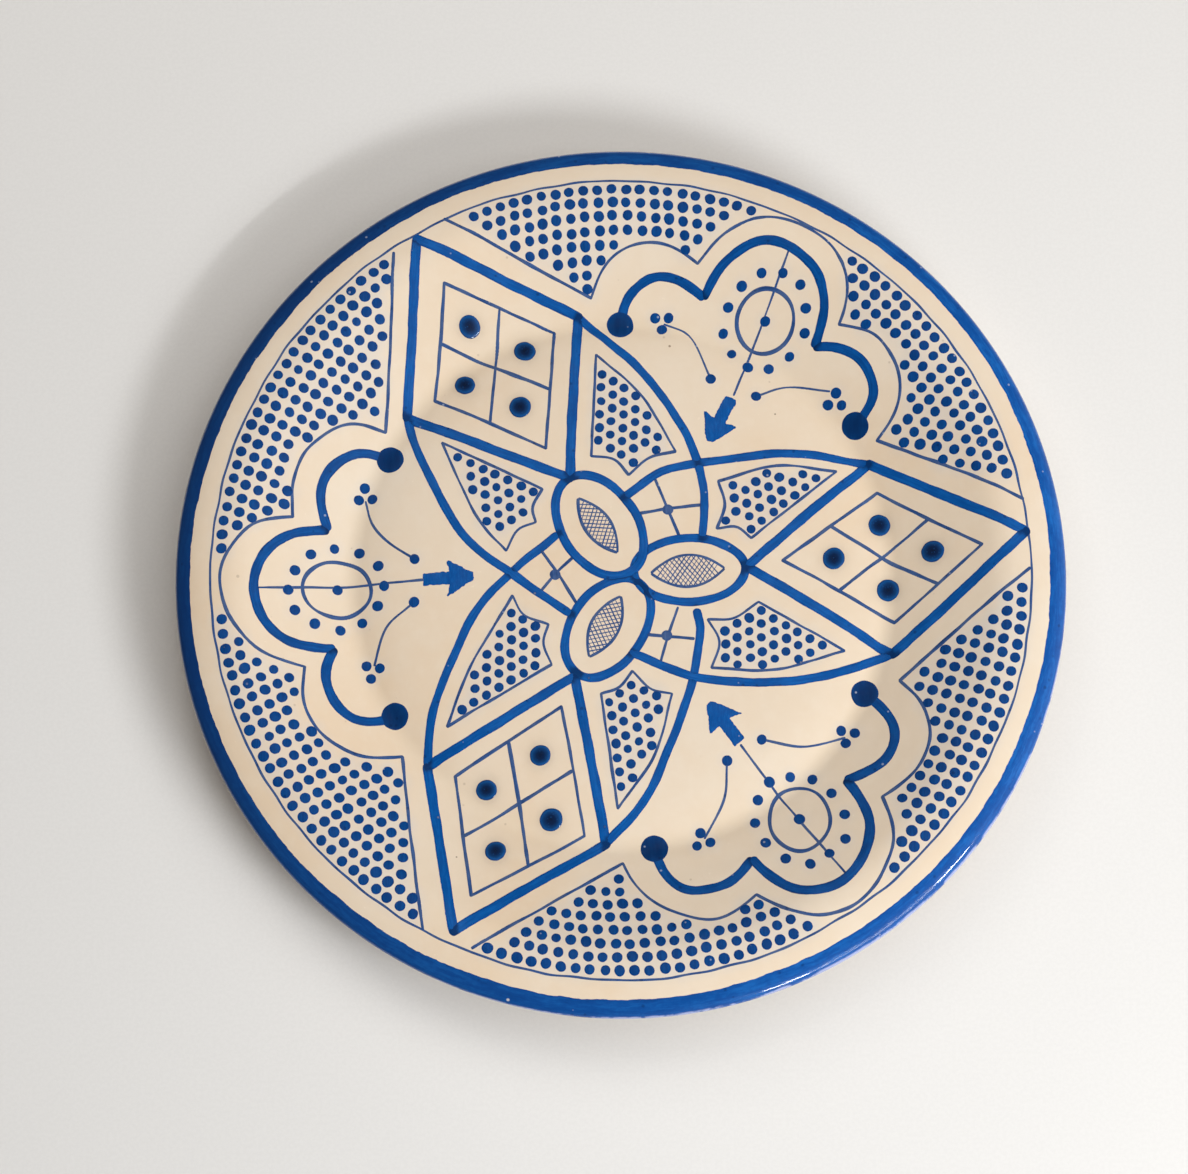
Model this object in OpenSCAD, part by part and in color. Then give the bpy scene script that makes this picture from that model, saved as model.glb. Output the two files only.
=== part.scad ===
// Hand painted ceramic plate, thrown and turned, tin glazed and painted in cobalt.
// Origin: centre of the foot ring, on the surface that the plate stands on. +Z is up.
// The motif is laid out on a plate of 270 and scales with plate_d.

/* [Plate] */
// Diameter over the rolled lip
plate_d = 270; // [240:5:300]
// Overall height, foot ring to the crest of the rim
plate_h = 23.4; // [21:0.2:27]
// Height of the groove between the well and the flange
groove_z = 8.6; // [8:0.2:9.6]
// How far the middle of the well stands above the groove
dome_h = 3.4; // [2:0.2:4]
// How far the widest part of the lip lies below the crest
lip_drop = 3.8; // [3.2:0.2:4.4]
// Thickness of the wall in the well and the flange
wall_t = 6; // [5:0.25:6.5]

/* [Foot ring] */
// Outer radius of the foot ring where it stands
foot_r = 79.5; // [77:0.5:80]
// Width of the flat that it stands on
foot_w = 5.5; // [4.5:0.5:7]
// Height of the bare clay edge that is wiped clean of glaze
bare_h = 1.4; // [1:0.1:1.8]

/* [Glaze and paint] */
// Thickness of the tin glaze
glaze_t = 0.5; // [0.4:0.05:0.7]
// How far a painted line stands proud of the glaze
paint_t = 0.2; // [0.15:0.05:0.3]
// Width of a bold line
bold_w = 2.9; // [2.2:0.1:3.2]
// Width of a fine line
fine_w = 0.9; // [0.7:0.1:1.1]
// Radius of a dot of the dotted ground
dot_r = 1.65; // [1.3:0.05:1.7]
// Radius of a thick dot in the diamonds
big_dot_r = 3.3; // [2.8:0.1:3.6]
// Radius of a ball at the end of an arch
ball_r = 4.1; // [3.4:0.1:4.4]

/* [Hidden] */
$fn = 144;
k = plate_d / 270;

cream = [0.93, 0.87, 0.79];
cobalt = [0.06, 0.27, 0.60];
thin_blue = [0.24, 0.35, 0.58];

// ---- the turned profile, radius u on a plate of 270 against height ----
u_well = 79.5;   // the dome of the well ends
u_flange = 85;   // the straight flange begins
u_roll = 112;    // the flange starts to roll over
u_crest = 120.5; // top of the rim
u_lip = 134.8;   // glazed edge; the painted band takes it to 135
dome = function(u) groove_z + dome_h * (1 - pow(u / 81.5, 8));
dome_s = -dome_h * 8 * pow(u_well / 81.5, 7) / 81.5;
z_well = dome(u_well);
// slope that brings the flange to plate_h at the crest
rise = (plate_h - z_well - 2.75 * dome_s) / 34;
z_fl = z_well + 2.75 * (dome_s + rise);
z_roll = z_fl + 27 * rise;
z_lip = plate_h - lip_drop;
ztop = function(u)
  u <= u_well ? dome(u) :
  u <= u_flange ? let (x = (u - u_well) / 5.5) z_well + 5.5 * (dome_s * x + (rise - dome_s) * x * x / 2) :
  u <= u_roll ? z_fl + rise * (u - u_flange) :
  let (y = min(u, u_crest) - u_roll) z_roll + rise * y - rise * y * y / 17;
top_line = concat(
  [for (u = [0, 30, 48, 58, 65, 71, 75.5, u_well, 81.3, 83.1, u_flange, u_roll, 115, 118, u_crest]) [u, ztop(u)]],
  [for (a = [15:15:90]) [u_crest + (u_lip - u_crest) * sin(a), z_lip + lip_drop * cos(a)]]);
nt = len(top_line);
surf = function(u) lookup(u, top_line);
// the underside, from the lip to the glazed side of the foot ring
under_line = concat(
  [for (a = [0:15:90]) [127.3 + (u_lip - 127.3) * cos(a), z_lip - 3.4 * sin(a)]],
  [for (u = [116, 104, 92, 85]) [u, ztop(u) - wall_t * 1.03]],
  [[81.4, 3], [foot_r + 0.8, bare_h]]);
nu = len(under_line);
// the recess inside the foot ring, from its side to the middle
recess_line = concat([[foot_r - foot_w - 0.8, bare_h], [foot_r - foot_w - 2.2, 3.2]],
  [for (u = [70, 60, 46, 30, 14, 0]) [u, ztop(u) - wall_t]]);
nr = len(recess_line);

// a line moved sideways by d, to the left of its direction
unit = function(v) v / norm(v);
side = function(p, i) let (n = len(p), a = p[max(i - 1, 0)], b = p[min(i + 1, n - 1)], t = unit(b - a)) [-t[1], t[0]];
moved = function(p, d) [for (i = [0:len(p) - 1]) p[i] + d * side(p, i)];
flip = function(p) [for (i = [len(p) - 1:-1:0]) p[i]];
wide = function(p) [for (q = p) [q[0] * k, q[1]]];
seam_in = [u_lip - glaze_t, z_lip];
clay_top = concat([[0, top_line[0][1] - glaze_t]], [for (i = [1:nt - 2]) top_line[i] - glaze_t * side(top_line, i)], [seam_in]);
clay_under = concat([seam_in], [for (i = [1:nu - 2]) under_line[i] - glaze_t * side(under_line, i)], [[foot_r + 0.8 - glaze_t, bare_h]]);
clay_recess = concat([[foot_r - foot_w - 0.8 + glaze_t, bare_h]], [for (i = [1:nr - 2]) recess_line[i] - glaze_t * side(recess_line, i)], [[0, recess_line[nr - 1][1] + glaze_t]]);

module lathe(p) rotate_extrude($fn = 180) polygon(wide(p));

module clay_body() color([0.72, 0.45, 0.31]) lathe(concat(clay_top, [for (i = [1:nu - 1]) clay_under[i]],
  [[foot_r, 0], [foot_r - foot_w, 0]], clay_recess));
module front_glaze() color(cream) lathe(concat(top_line, flip(clay_top)));
module back_glaze() color(cream) lathe(concat(under_line, flip(clay_under)));
module foot_recess_glaze() color(cream) lathe(concat(recess_line, flip(clay_recess)));

// ---- paint ----
// skin on the glaze between two radii, as thick as the paint
skin_pts = function(a, b) concat([[a, surf(a)]], [for (q = top_line) if (q[0] > a + 0.01 && q[0] < b - 0.01) q], [[b, surf(b)]]);
module skin(a, b) let (p = skin_pts(a, b)) lathe(concat(p, [for (q = flip(p)) q + [0, paint_t]]));
module brushed(a, b) intersection() {
  linear_extrude(height = plate_h + 2) scale([k, k]) children();
  skin(a, b);
}
// a dot on the slope of the glaze
module dot(p, r, h = paint_t, top = 1) let (u = norm(p), s = atan((surf(u + 0.4) - surf(u - 0.4)) / (0.8 * k)))
  translate([p[0] * k, p[1] * k, surf(u)]) rotate([0, 0, atan2(p[1], p[0])]) rotate([0, -s, 0])
    cylinder(r1 = r * k, r2 = r * k * top, h = h, $fn = 24);

// smooth curve through a few points
cr = function(a, b, c, d, t) 0.5 * (2 * b + (c - a) * t + (2 * a - 5 * b + 4 * c - d) * t * t + (3 * b - a - 3 * c + d) * t * t * t);
curve = function(p, m = 6) let (n = len(p)) concat([for (i = [0:n - 2], j = [0:m - 1])
  cr(i > 0 ? p[i - 1] : 2 * p[0] - p[1], p[i], p[i + 1], i < n - 2 ? p[i + 2] : 2 * p[n - 1] - p[n - 2], j / m)], [p[n - 1]]);
module line2(p, w) polygon(concat(moved(p, w / 2), flip(moved(p, -w / 2))));
// straight line that runs on past both ends by e
module bar2(a, b, w, e = 0) let (t = unit(b - a)) line2([a - t * e, b + t * e], w);
loop_pts = function(c, rx, ry, a, n = 32) [for (i = [0:n - 1]) let (t = i * 360 / n) c + [rx * cos(t) * cos(a) - ry * sin(t) * sin(a), rx * cos(t) * sin(a) + ry * sin(t) * cos(a)]];
module ring2(c, rx, ry, a, w) difference() {
  polygon(loop_pts(c, rx + w / 2, ry + w / 2, a));
  polygon(loop_pts(c, rx - w / 2, ry - w / 2, a));
}

// Three diamonds: outer tip or first corner, then on round the frame
diamonds = [
  [[-63, 105], [-13, 84], [-15.5, 31.5], [-66, 51.5]],
  [[122.5, 12], [76.5, 36.5], [38.5, 3.5], [82.5, -23.5]],
  [[-49.5, -109.5], [-58.5, -58], [-14, -30.5], [-4.5, -81.5]]];
grids = [
  [[-54.5, 92], [-20.5, 79], [-23, 41], [-57.5, 57]],
  [[109.5, 8.5], [79, 27.5], [49.5, 5.5], [83.5, -13.5]],
  [[-44.5, -98.5], [-50, -61], [-18, -40], [-11, -79]]];
mid = function(a, b) (a + b) / 2;
// one thick dot in the middle of each quarter of a grid
big_dots = [for (g = grids, i = [0:3]) let (c = (g[0] + g[1] + g[2] + g[3]) / 4) (g[i] + mid(g[i], g[(i + 1) % 4]) + mid(g[i], g[(i + 3) % 4]) + c) / 4];

// Petals: each side is one brushed curve from the diamond to the ovals
petals = [
  [[-13, 84], [6, 66.5], [19.5, 47], [25.5, 28.5], [25, 12.5]],
  [[-66, 51.5], [-61.5, 38], [-48.5, 14], [-33.5, 1.5], [-15, -11.5]],
  [[76.5, 36.5], [55, 39.5], [36.5, 38], [14, 34], [0.5, 25]],
  [[82.5, -23.5], [61, -30.5], [41, -32.5], [21.5, -30.5], [2.5, -23]],
  [[-58.5, -58], [-56.5, -40], [-45, -12], [-33.5, 1.5], [-19, 14]],
  [[-4.5, -81.5], [8.5, -66], [20.5, -36], [24, -18], [23, -9.5]]];

// Ovals in the middle: centre, half length, half width, direction of the long axis
ovals = [[[-6.5, 16.5], 17.5, 11.5, 123], [[21, 2.5], 17, 10, 2], [[-4, -15.5], 17, 11, 57]];
lenses = [[[-7, 16.5], 10.5, 4, 125], [[20.5, 2.2], 11.3, 5, 4], [[-4.8, -15.2], 10.6, 4.3, 63]];

// Window crosses: dot, then the ends of the two lines
windows = [
  [[14.5, 21.5], [10.5, 31.5], [18, 13], [4, 20], [25, 23]],
  [[-20, 1], [-25, 9.5], [-13.5, -8], [-14, 7], [-25, -5]],
  [[14, -18], [17.5, -9], [12, -26.5], [6, -17.5], [22.5, -19]]];

// Petal panels: each side is a curve of two or three points, side by side round the panel
panels = [
  [[[-55, 43], [-24, 28]], [[-24, 28], [-27, 22.5], [-26, 17.5]], [[-26, 17.5], [-31.5, 15], [-35, 8.5]], [[-35, 8.5], [-44.5, 20], [-55, 43]]],
  [[[-7.5, 71.5], [-9, 38.5]], [[-9, 38.5], [-2, 37.5], [2.5, 32.5]], [[2.5, 32.5], [9, 38], [17, 40]], [[17, 40], [6.5, 58], [-7.5, 71.5]]],
  [[[66.5, 34], [40, 12.5]], [[40, 12.5], [35.5, 16], [29.5, 15.5]], [[29.5, 15.5], [32, 23], [30, 30.5]], [[30, 30.5], [48, 35.5], [66.5, 34]]],
  [[[68, -22.5], [42, -7.5]], [[42, -7.5], [34.5, -12.5], [26.5, -13]], [[26.5, -13], [30, -20], [27.5, -28]], [[27.5, -28], [47, -28.5], [68, -22.5]]],
  [[[-52.5, -46], [-21, -27]], [[-21, -27], [-23.5, -20.5], [-22, -14.5]], [[-22, -14.5], [-29.5, -11.5], [-33, -5.5]], [[-33, -5.5], [-46, -28.5], [-52.5, -46]]],
  [[[-1, -71], [-6, -36]], [[-6, -36], [-0.5, -34], [3.5, -29]], [[3.5, -29], [9, -34.5], [15.5, -36]], [[15.5, -36], [10, -55], [-1, -71]]]];

// Arches: three lobes each, from ball to ball
arches = [
  [[[-71, 38], [-82, 39], [-91, 30], [-89.5, 15]], [[-89.5, 15], [-105, 9.5], [-111, -3.5], [-105, -18], [-87, -22]], [[-87, -22], [-89, -33], [-81.5, -43.5], [-68.5, -42.5]]],
  [[[0, 81.5], [4, 91.5], [13, 95.5], [26, 89]], [[26, 89], [33, 99.5], [46, 105], [59, 97], [63, 86.5], [60, 73]], [[60, 73], [72.5, 69.5], [78, 59], [72.5, 48.5]]],
  [[[74, -35.5], [82, -46], [80.5, -55], [67.5, -62.5]], [[67.5, -62.5], [74, -78], [67, -93], [54, -97], [39, -86.5]], [[39, -86.5], [31, -94.5], [18, -95.5], [10, -83]]]];
scallops = [
  [[[-72.5, 46.5], [-85, 47.5], [-97.5, 36.5], [-100, 18]], [[-100, 18], [-113.5, 13], [-121, -2.5], [-113, -21], [-95.5, -28.5]], [[-95.5, -28.5], [-94, -43.5], [-82, -54.5], [-66, -55]]],
  [[[-9, 89.5], [-2, 101.5], [10, 105.5], [24, 99]], [[24, 99], [35, 109], [48.5, 112], [65, 103], [70, 90], [67.5, 79]], [[67.5, 79], [80, 73.5], [86, 58], [79, 43.5]]],
  [[[84.5, -32], [92, -43.5], [91, -56], [78, -68.5]], [[78, -68.5], [80.5, -82.5], [71, -100], [56.5, -104.5], [40, -98]], [[40, -98], [26.5, -105.5], [8.5, -99], [0.5, -87.5]]]];

// Straight edges of the dotted ground beside the diamonds
edges = [[[-70, 100.5], [-72.5, 46.5]], [[-54.5, 111.5], [-9, 89.5]], [[79, 43.5], [122, 22]], [[123.5, 0.5], [84.5, -32]], [[0.5, -87.5], [-44, -114.5]], [[-66, -55], [-58.5, -109]]];

// Circles in the arches: centre, radii, then the ends of the axis line
circles = [
  [[-86.5, -3.5], 10.3, 8.7, [-110, -5], [-60, -0.5]],
  [[45, 81.5], 8.8, 9.4, [52, 101.5], [35, 58]],
  [[53.5, -74.5], 9, 10, [67, -93], [36, -51.5]]];
// a dot in the middle, and twelve round the circle, the first on the axis line
wheel = function(c, seed) let (t = unit(c[4] - c[3]), n = [-t[1], t[0]], w = rands(-0.5, 0.5, 24, seed))
  concat([c[0]], [for (i = [0:11]) c[0] + (14.5 + w[2 * i]) * cos(30 * i) * t + (12.5 + w[2 * i]) * sin(30 * i) * n + (i % 6 == 0 ? 0 : w[2 * i + 1]) * t]);
circle_dots = [for (i = [0:2]) each wheel(circles[i], 51 + i)];

// Arrows: tail and tip
arrows = [[[-60.5, -0.5], [-44.5, 0.5]], [[34.5, 57.5], [27, 43]], [[36, -51], [26.5, -38.5]]];

// Sprigs: the curve from its dot to the three dots at its head
sprig_curves = [
  [[-63, 6], [-70.5, 11], [-76, 17], [-78.5, 25]], [[-63, -7.5], [-71.5, -15.5], [-75, -27]],
  [[28, 63.5], [22, 77.5], [13.5, 82]], [[42, 58], [52.5, 61.5], [65, 59.5]],
  [[42.5, -50], [55, -52], [68, -49]], [[32, -56.5], [31, -68], [25, -80]]];
// where the three dots of a head stand, and how they are turned
sprig_heads = [[[-78.5, 26.5], 95], [[-75.5, -28.5], 20], [[13, 82.5], 30], [[66.5, 56.5], 84], [[68.5, -48.5], 18], [[24.5, -80.5], 105]];
head_dots = function(h) [for (i = [0:2]) h[0] + 2.4 * [cos(h[1] + 120 * i), sin(h[1] + 120 * i)]];

module rim_band() color(cobalt) let (
    n0 = nt - 4,
    p = concat([[129.6, surf(129.6)]], [for (i = [n0:nt - 1]) top_line[i]], [under_line[1]]),
    q = concat([[129.6, surf(129.6) + 0.2]], [for (i = [n0:nt - 1]) i == nt - 1 ? [135, z_lip] : top_line[i] + 0.2 * side(top_line, i)], [under_line[1] + [0.2, 0]]))
  lathe(concat(p, flip(q)));
module border_line() color(thin_blue) skin(123.5, 124.3);
module petal_lines() color(cobalt) brushed(5, 95) for (p = petals) line2(curve(p), bold_w);
module diamond_frames() color(cobalt) brushed(15, 124.2) for (d = diamonds, i = [0:3]) bar2(d[i], d[(i + 1) % 4], bold_w, bold_w / 2);
module diamond_grids() color(thin_blue) brushed(20, 118) for (d = grids) {
  for (i = [0:3]) bar2(d[i], d[(i + 1) % 4], fine_w, fine_w / 2);
  bar2(mid(d[0], d[1]), mid(d[2], d[3]), fine_w);
  bar2(mid(d[1], d[2]), mid(d[3], d[0]), fine_w);
}
module diamond_dots() color([0.02, 0.10, 0.24]) for (p = big_dots) dot(p, big_dot_r, 0.45, 0.8);
module centre_ovals() color(cobalt) brushed(0, 45) for (o = ovals) ring2(o[0], o[1], o[2], o[3], bold_w);
// a lens is two arcs that meet in points, filled with slanted hatching
lens_pts = function(l, n = 10) let (a = l[3], c = l[0]) [for (s = [1, -1], i = [0:n - 1]) let (t = s * (1 - 2 * i / n), w = s * l[2] * (1 - pow(t, 2)))
  c + [l[1] * t * cos(a) - w * sin(a), l[1] * t * sin(a) + w * cos(a)]];
module lens_line(l) let (p = lens_pts(l)) difference() {
  polygon(p);
  polygon(lens_pts([l[0], l[1] - fine_w * 1.2, l[2] - fine_w / 2 - 0.1, l[3]]));
}
module oval_lenses() color(thin_blue) {
  brushed(0, 45) for (l = lenses) lens_line(l);
  brushed(0, 45) intersection() {
    union() for (l = lenses) polygon(lens_pts([l[0], l[1] - 0.9, l[2] - 0.4, l[3]]));
    union() for (l = lenses, d = [-1, 1], i = [-3:3]) let (a = l[3] + d * 52, c = l[0] + 2.6 * i * [cos(l[3]), sin(l[3])])
      bar2(c - 9 * [cos(a), sin(a)], c + 9 * [cos(a), sin(a)], 0.5);
  }
}
module window_crosses() color(thin_blue) brushed(5, 40) for (w = windows) {
  bar2(w[1], w[2], fine_w);
  bar2(w[3], w[4], fine_w);
  polygon(loop_pts(w[0], dot_r, dot_r, 0, 16));
}
module panel_outlines() color(thin_blue) brushed(25, 90) for (p = panels, s = p) line2(curve(s), fine_w);
module arch_lines() color(cobalt) brushed(70, 124) for (a = arches) {
  for (l = a) line2(curve(l), bold_w);
  for (p = [a[0][0], a[2][3]]) polygon(loop_pts(p, ball_r, ball_r, 0, 28));
  for (p = [a[1][0], a[2][0]]) polygon(loop_pts(p, bold_w / 2, bold_w / 2, 4, 16));
}
module arch_outlines() color(thin_blue) brushed(80, 124) for (a = scallops, l = a) line2(curve(l), fine_w);
module ground_edges() color(thin_blue) brushed(80, 123.5) for (e = edges) bar2(e[0], e[1], fine_w);
module arch_arrows() color(cobalt) brushed(40, 75) for (a = arrows) let (t = unit(a[1] - a[0]), n = [-t[1], t[0]], h = a[1] - t * 8) {
  polygon([a[0] + n * 2.2, h + n * 2.2, h + n * 5, a[1] + n * 0.8, a[1] - n * 0.8, h - n * 5, h - n * 2.2, a[0] - n * 2.2]);
}
module arch_circles() color(thin_blue) brushed(55, 115) for (c = circles) {
  ring2(c[0], c[1], c[2], 0, fine_w);
  bar2(c[3], c[4], fine_w * 0.9);
}
module arch_circle_dots() color(cobalt) for (p = circle_dots) dot(p, dot_r);
module sprig_stems() color(thin_blue) brushed(55, 95) for (c = sprig_curves) line2(curve(c), 0.8);
module sprig_dots() color(cobalt) for (i = [0:5]) {
  dot(sprig_curves[i][0], dot_r);
  for (p = head_dots(sprig_heads[i])) dot(p, dot_r);
}

// ---- dots laid in rows, kept where they fall inside an outline ----
inside = function(q, p) let (n = len(p)) len([for (i = [0:n - 1]) let (a = p[i], b = p[(i + 1) % n])
  if ((a[1] > q[1]) != (b[1] > q[1]) && q[0] < a[0] + (q[1] - a[1]) * (b[0] - a[0]) / (b[1] - a[1])) 1]) % 2 == 1;
gap_to = function(q, p) min([for (i = [0:len(p) - 1]) let (a = p[i], d = p[(i + 1) % len(p)] - a, l = d * d,
  t = l < 0.0001 ? 0 : max(0, min(1, ((q - a) * d) / l))) norm(q - a - d * t)]);
// rows run parallel to the border, every second row half a step on
row_step = 4.1;
dot_step = 4.4;
ring_dots = function(p, a0, a1, first, seed) let (w = rands(-0.25, 0.25, 1200, seed))
  [for (j = [0:10]) let (u = first - row_step * j, da = dot_step / u * 57.3)
    for (i = [0:floor((a1 - a0) / da)]) let (m = (j * 90 + i * 2) % 1198, a = a0 + (i + (j % 2) / 2) * da, q = (u + w[m]) * [cos(a), sin(a)] + w[m + 1] * [-sin(a), cos(a)])
      if (inside(q, p) && gap_to(q, p) > dot_r + 0.1) q];
arc_on = function(a, b, u = 123.9) let (x = atan2(a[1], a[0]), y0 = atan2(b[1], b[0]), y = y0 - x > 180 ? y0 - 360 : y0 - x < -180 ? y0 + 360 : y0, n = ceil(abs(y - x) / 4))
  [for (i = [0:n]) let (t = x + (y - x) * i / n) u * [cos(t), sin(t)]];
// the middle lobe of a scallop nearly touches the border: a field ends there
half = function(c, first) first ? [for (i = [0:floor(len(c) / 2)]) c[i]] : [for (i = [floor(len(c) / 2):len(c) - 1]) c[i]];
lobe = function(a, i) curve(scallops[a][i]);
field_a = function(a, e) let (c = concat([edges[e][0]], lobe(a, 0), half(lobe(a, 1), true))) concat(c, arc_on(c[len(c) - 1], edges[e][0]));
field_b = function(a, e) let (c = concat(half(lobe(a, 1), false), lobe(a, 2), [edges[e][1]])) concat(c, arc_on(edges[e][1], c[0]));
module field(p, seed) let (g = [for (q = p) atan2(q[1], q[0])], h = max(g) - min(g) > 200 ? [for (x = g) x < 0 ? x + 360 : x] : g)
  color(cobalt) for (q = ring_dots(p, min(h), max(h), 121.2, seed)) dot(q, dot_r);

module ground_dots_upper_left() field(field_a(0, 0), 11);
module ground_dots_lower_left() field(field_b(0, 5), 12);
module ground_dots_top() field(field_a(1, 1), 13);
module ground_dots_upper_right() field(field_b(1, 2), 14);
module ground_dots_right() field(field_a(2, 3), 15);
module ground_dots_bottom() field(field_b(2, 4), 16);

// rows in a panel run parallel to its straight side
panel_pts = function(p) [for (s = p, q = (let (c = curve(s)) [for (i = [0:len(c) - 2]) c[i]])) q];
panel_rows = function(p, seed) let (o = panel_pts(p), a = p[0][0], b = p[0][1], t = unit(b - a), c = p[2][0],
    n = (([-t[1], t[0]] * (c - a)) > 0 ? 1 : -1) * [-t[1], t[0]], w = rands(-0.2, 0.2, 400, seed))
  [for (j = [0:6], i = [0:12]) let (m = j * 28 + i * 2, q = a + t * (2.2 + 4.3 * (i + (j % 2) / 2) + w[m]) + n * (2.1 + 3.6 * j + w[m + 1]))
    if (inside(q, o) && gap_to(q, o) > dot_r * 0.8) q];
module panel_dots() color(cobalt) for (i = [0:5]) for (q = panel_rows(panels[i], 30 + i)) dot(q, dot_r * 0.88);

clay_body();
front_glaze();
back_glaze();
foot_recess_glaze();
rim_band();
border_line();
petal_lines();
diamond_frames();
diamond_grids();
diamond_dots();
centre_ovals();
oval_lenses();
window_crosses();
panel_outlines();
panel_dots();
arch_lines();
arch_outlines();
ground_edges();
ground_dots_top();
ground_dots_upper_right();
ground_dots_right();
ground_dots_bottom();
ground_dots_lower_left();
ground_dots_upper_left();
arch_arrows();
arch_circles();
arch_circle_dots();
sprig_stems();
sprig_dots();
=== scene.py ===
import math

import bpy
import numpy as np
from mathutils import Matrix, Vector
from mathutils.geometry import delaunay_2d_cdt


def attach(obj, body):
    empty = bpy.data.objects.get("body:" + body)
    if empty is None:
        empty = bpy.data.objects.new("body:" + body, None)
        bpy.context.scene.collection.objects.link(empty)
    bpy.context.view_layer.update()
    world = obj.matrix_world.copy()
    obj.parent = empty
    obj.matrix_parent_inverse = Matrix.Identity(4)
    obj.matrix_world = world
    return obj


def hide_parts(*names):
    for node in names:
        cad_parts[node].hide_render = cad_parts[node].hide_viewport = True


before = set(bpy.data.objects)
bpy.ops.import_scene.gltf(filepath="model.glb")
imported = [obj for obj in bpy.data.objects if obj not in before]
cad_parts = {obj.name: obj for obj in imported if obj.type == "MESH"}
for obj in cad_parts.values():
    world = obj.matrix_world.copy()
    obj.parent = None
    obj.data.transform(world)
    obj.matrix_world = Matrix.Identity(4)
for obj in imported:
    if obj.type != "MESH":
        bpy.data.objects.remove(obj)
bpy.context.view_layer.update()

# Everything below is worked in millimetres in the frame of the plate, and turned to metres when a mesh is made.
PI = math.pi
TAU = 2 * math.pi
rng = np.random.default_rng(412)
scene = bpy.context.scene

# ------------------------------------------------------------------ the turned surface
LIP, CREST, ROLL, FLANGE, WELL = 134.8, 120.5, 112.0, 85.0, 79.5
Z_CREST, Z_LIP, GROOVE, DOME = 23.4, 19.6, 8.6, 3.4
SW = -DOME * 8 * (WELL / 81.5) ** 7 / 81.5
ZW = GROOVE + DOME * (1 - (WELL / 81.5) ** 8)
RISE = (Z_CREST - ZW - 2.75 * SW) / 34
ZF = ZW + 2.75 * (SW + RISE)
ZR = ZF + 27 * RISE


def ztop(r):
    r = np.asarray(r, float)
    z = GROOVE + DOME * (1 - (np.minimum(r, WELL) / 81.5) ** 8)
    x = (r - WELL) / 5.5
    z = np.where(r > WELL, ZW + 5.5 * (SW * x + (RISE - SW) * x * x / 2), z)
    z = np.where(r > FLANGE, ZF + RISE * (r - FLANGE), z)
    y = np.minimum(r, CREST) - ROLL
    z = np.where(r > ROLL, ZR + RISE * y - RISE * y * y / 17, z)
    q = np.clip((r - CREST) / (LIP - CREST), 0, 1)
    return np.where(r > CREST, Z_LIP + (Z_CREST - Z_LIP) * np.sqrt(np.maximum(0, 1 - q * q)), z)


WAVES = [(rng.uniform(0, TAU), rng.uniform(0, TAU), rng.uniform(16, 42)) for _ in range(14)]


def soft(x, y):
    s = 0.0
    for a, p, l in WAVES:
        s = s + np.sin((x * math.cos(a) + y * math.sin(a)) * TAU / l + p)
    return s / 4.0


def uneven(x, y):
    """how the thrown and glazed surface strays from a true turned one, in mm"""
    r = np.hypot(x, y)
    t = np.arctan2(y, x)
    warp = (r / 135) ** 2 * (-0.12 + 0.07 * np.sin(2 * t + 0.7) + 0.04 * np.sin(3 * t + 2.1))
    rings = 0.022 * np.sin(TAU * r / 8.5 + 0.9 * np.sin(t + 1.0)) * np.clip((118 - r) / 20, 0, 1) * np.clip(r / 12, 0, 1)
    return warp + rings + 0.016 * soft(x, y)


def height(x, y):
    return ztop(np.hypot(x, y)) + uneven(x, y)


# ------------------------------------------------------------------ small tools
def wave1(s, lengths, rs, period=None):
    """smooth noise of about unit size along a line; with a period it closes on itself"""
    out = np.zeros_like(np.asarray(s, float))
    for l in lengths:
        for _ in range(2):
            k = TAU / (l * rs.uniform(0.75, 1.3))
            if period:
                k = max(1, round(period * k / TAU)) * TAU / period
            out = out + np.sin(s * k + rs.uniform(0, TAU))
    return out / math.sqrt(2 * len(lengths))


def spline(p, m=12):
    p = np.asarray(p, float)
    if len(p) == 2:
        return p
    a = np.vstack([2 * p[0] - p[1], p, 2 * p[-1] - p[-2]])
    t = (np.arange(m) / m)[:, None]
    out = []
    for i in range(len(p) - 1):
        p0, p1, p2, p3 = a[i:i + 4]
        out.append(0.5 * (2 * p1 + (p2 - p0) * t + (2 * p0 - 5 * p1 + 4 * p2 - p3) * t ** 2 + (3 * p1 - p0 - 3 * p2 + p3) * t ** 3))
    return np.vstack(out + [p[-1:]])


def rounded(p, m=14):
    """an even hand's curve through a few points: a cubic spline by length, with no kink in its ends,
    kept half way to the CAD curve so that both stand on the same line"""
    p = np.asarray(p, float)
    if len(p) < 4:
        return spline(p, m)
    x = np.r_[0, np.cumsum(np.hypot(*np.diff(p, axis=0).T))]
    h = np.diff(x)
    d = np.diff(p, axis=0) / h[:, None]
    n = len(p)
    A, B = np.zeros((n, n)), np.zeros((n, 2))
    for i in range(1, n - 1):
        A[i, i - 1:i + 2] = h[i], 2 * (h[i - 1] + h[i]), h[i - 1]
        B[i] = 3 * (h[i] * d[i - 1] + h[i - 1] * d[i])
    a, b = h[0] + h[1], h[-1] + h[-2]
    A[0, 0], A[0, 1] = h[1], a
    B[0] = ((h[0] + 2 * a) * h[1] * d[0] + h[0] ** 2 * d[1]) / a
    A[-1, -1], A[-1, -2] = h[-2], b
    B[-1] = (h[-1] ** 2 * d[-2] + (2 * b + h[-1]) * h[-2] * d[-1]) / b
    k = np.linalg.solve(A, B)
    out = []
    for i in range(n - 1):
        t = (np.arange(m) / m)[:, None]
        out.append((1 + 2 * t) * (1 - t) ** 2 * p[i] + t * (1 - t) ** 2 * h[i] * k[i] + t ** 2 * (3 - 2 * t) * p[i + 1] + t ** 2 * (t - 1) * h[i] * k[i + 1])
    return 0.5 * np.vstack(out + [p[-1:]]) + 0.5 * spline(p, m)


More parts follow.
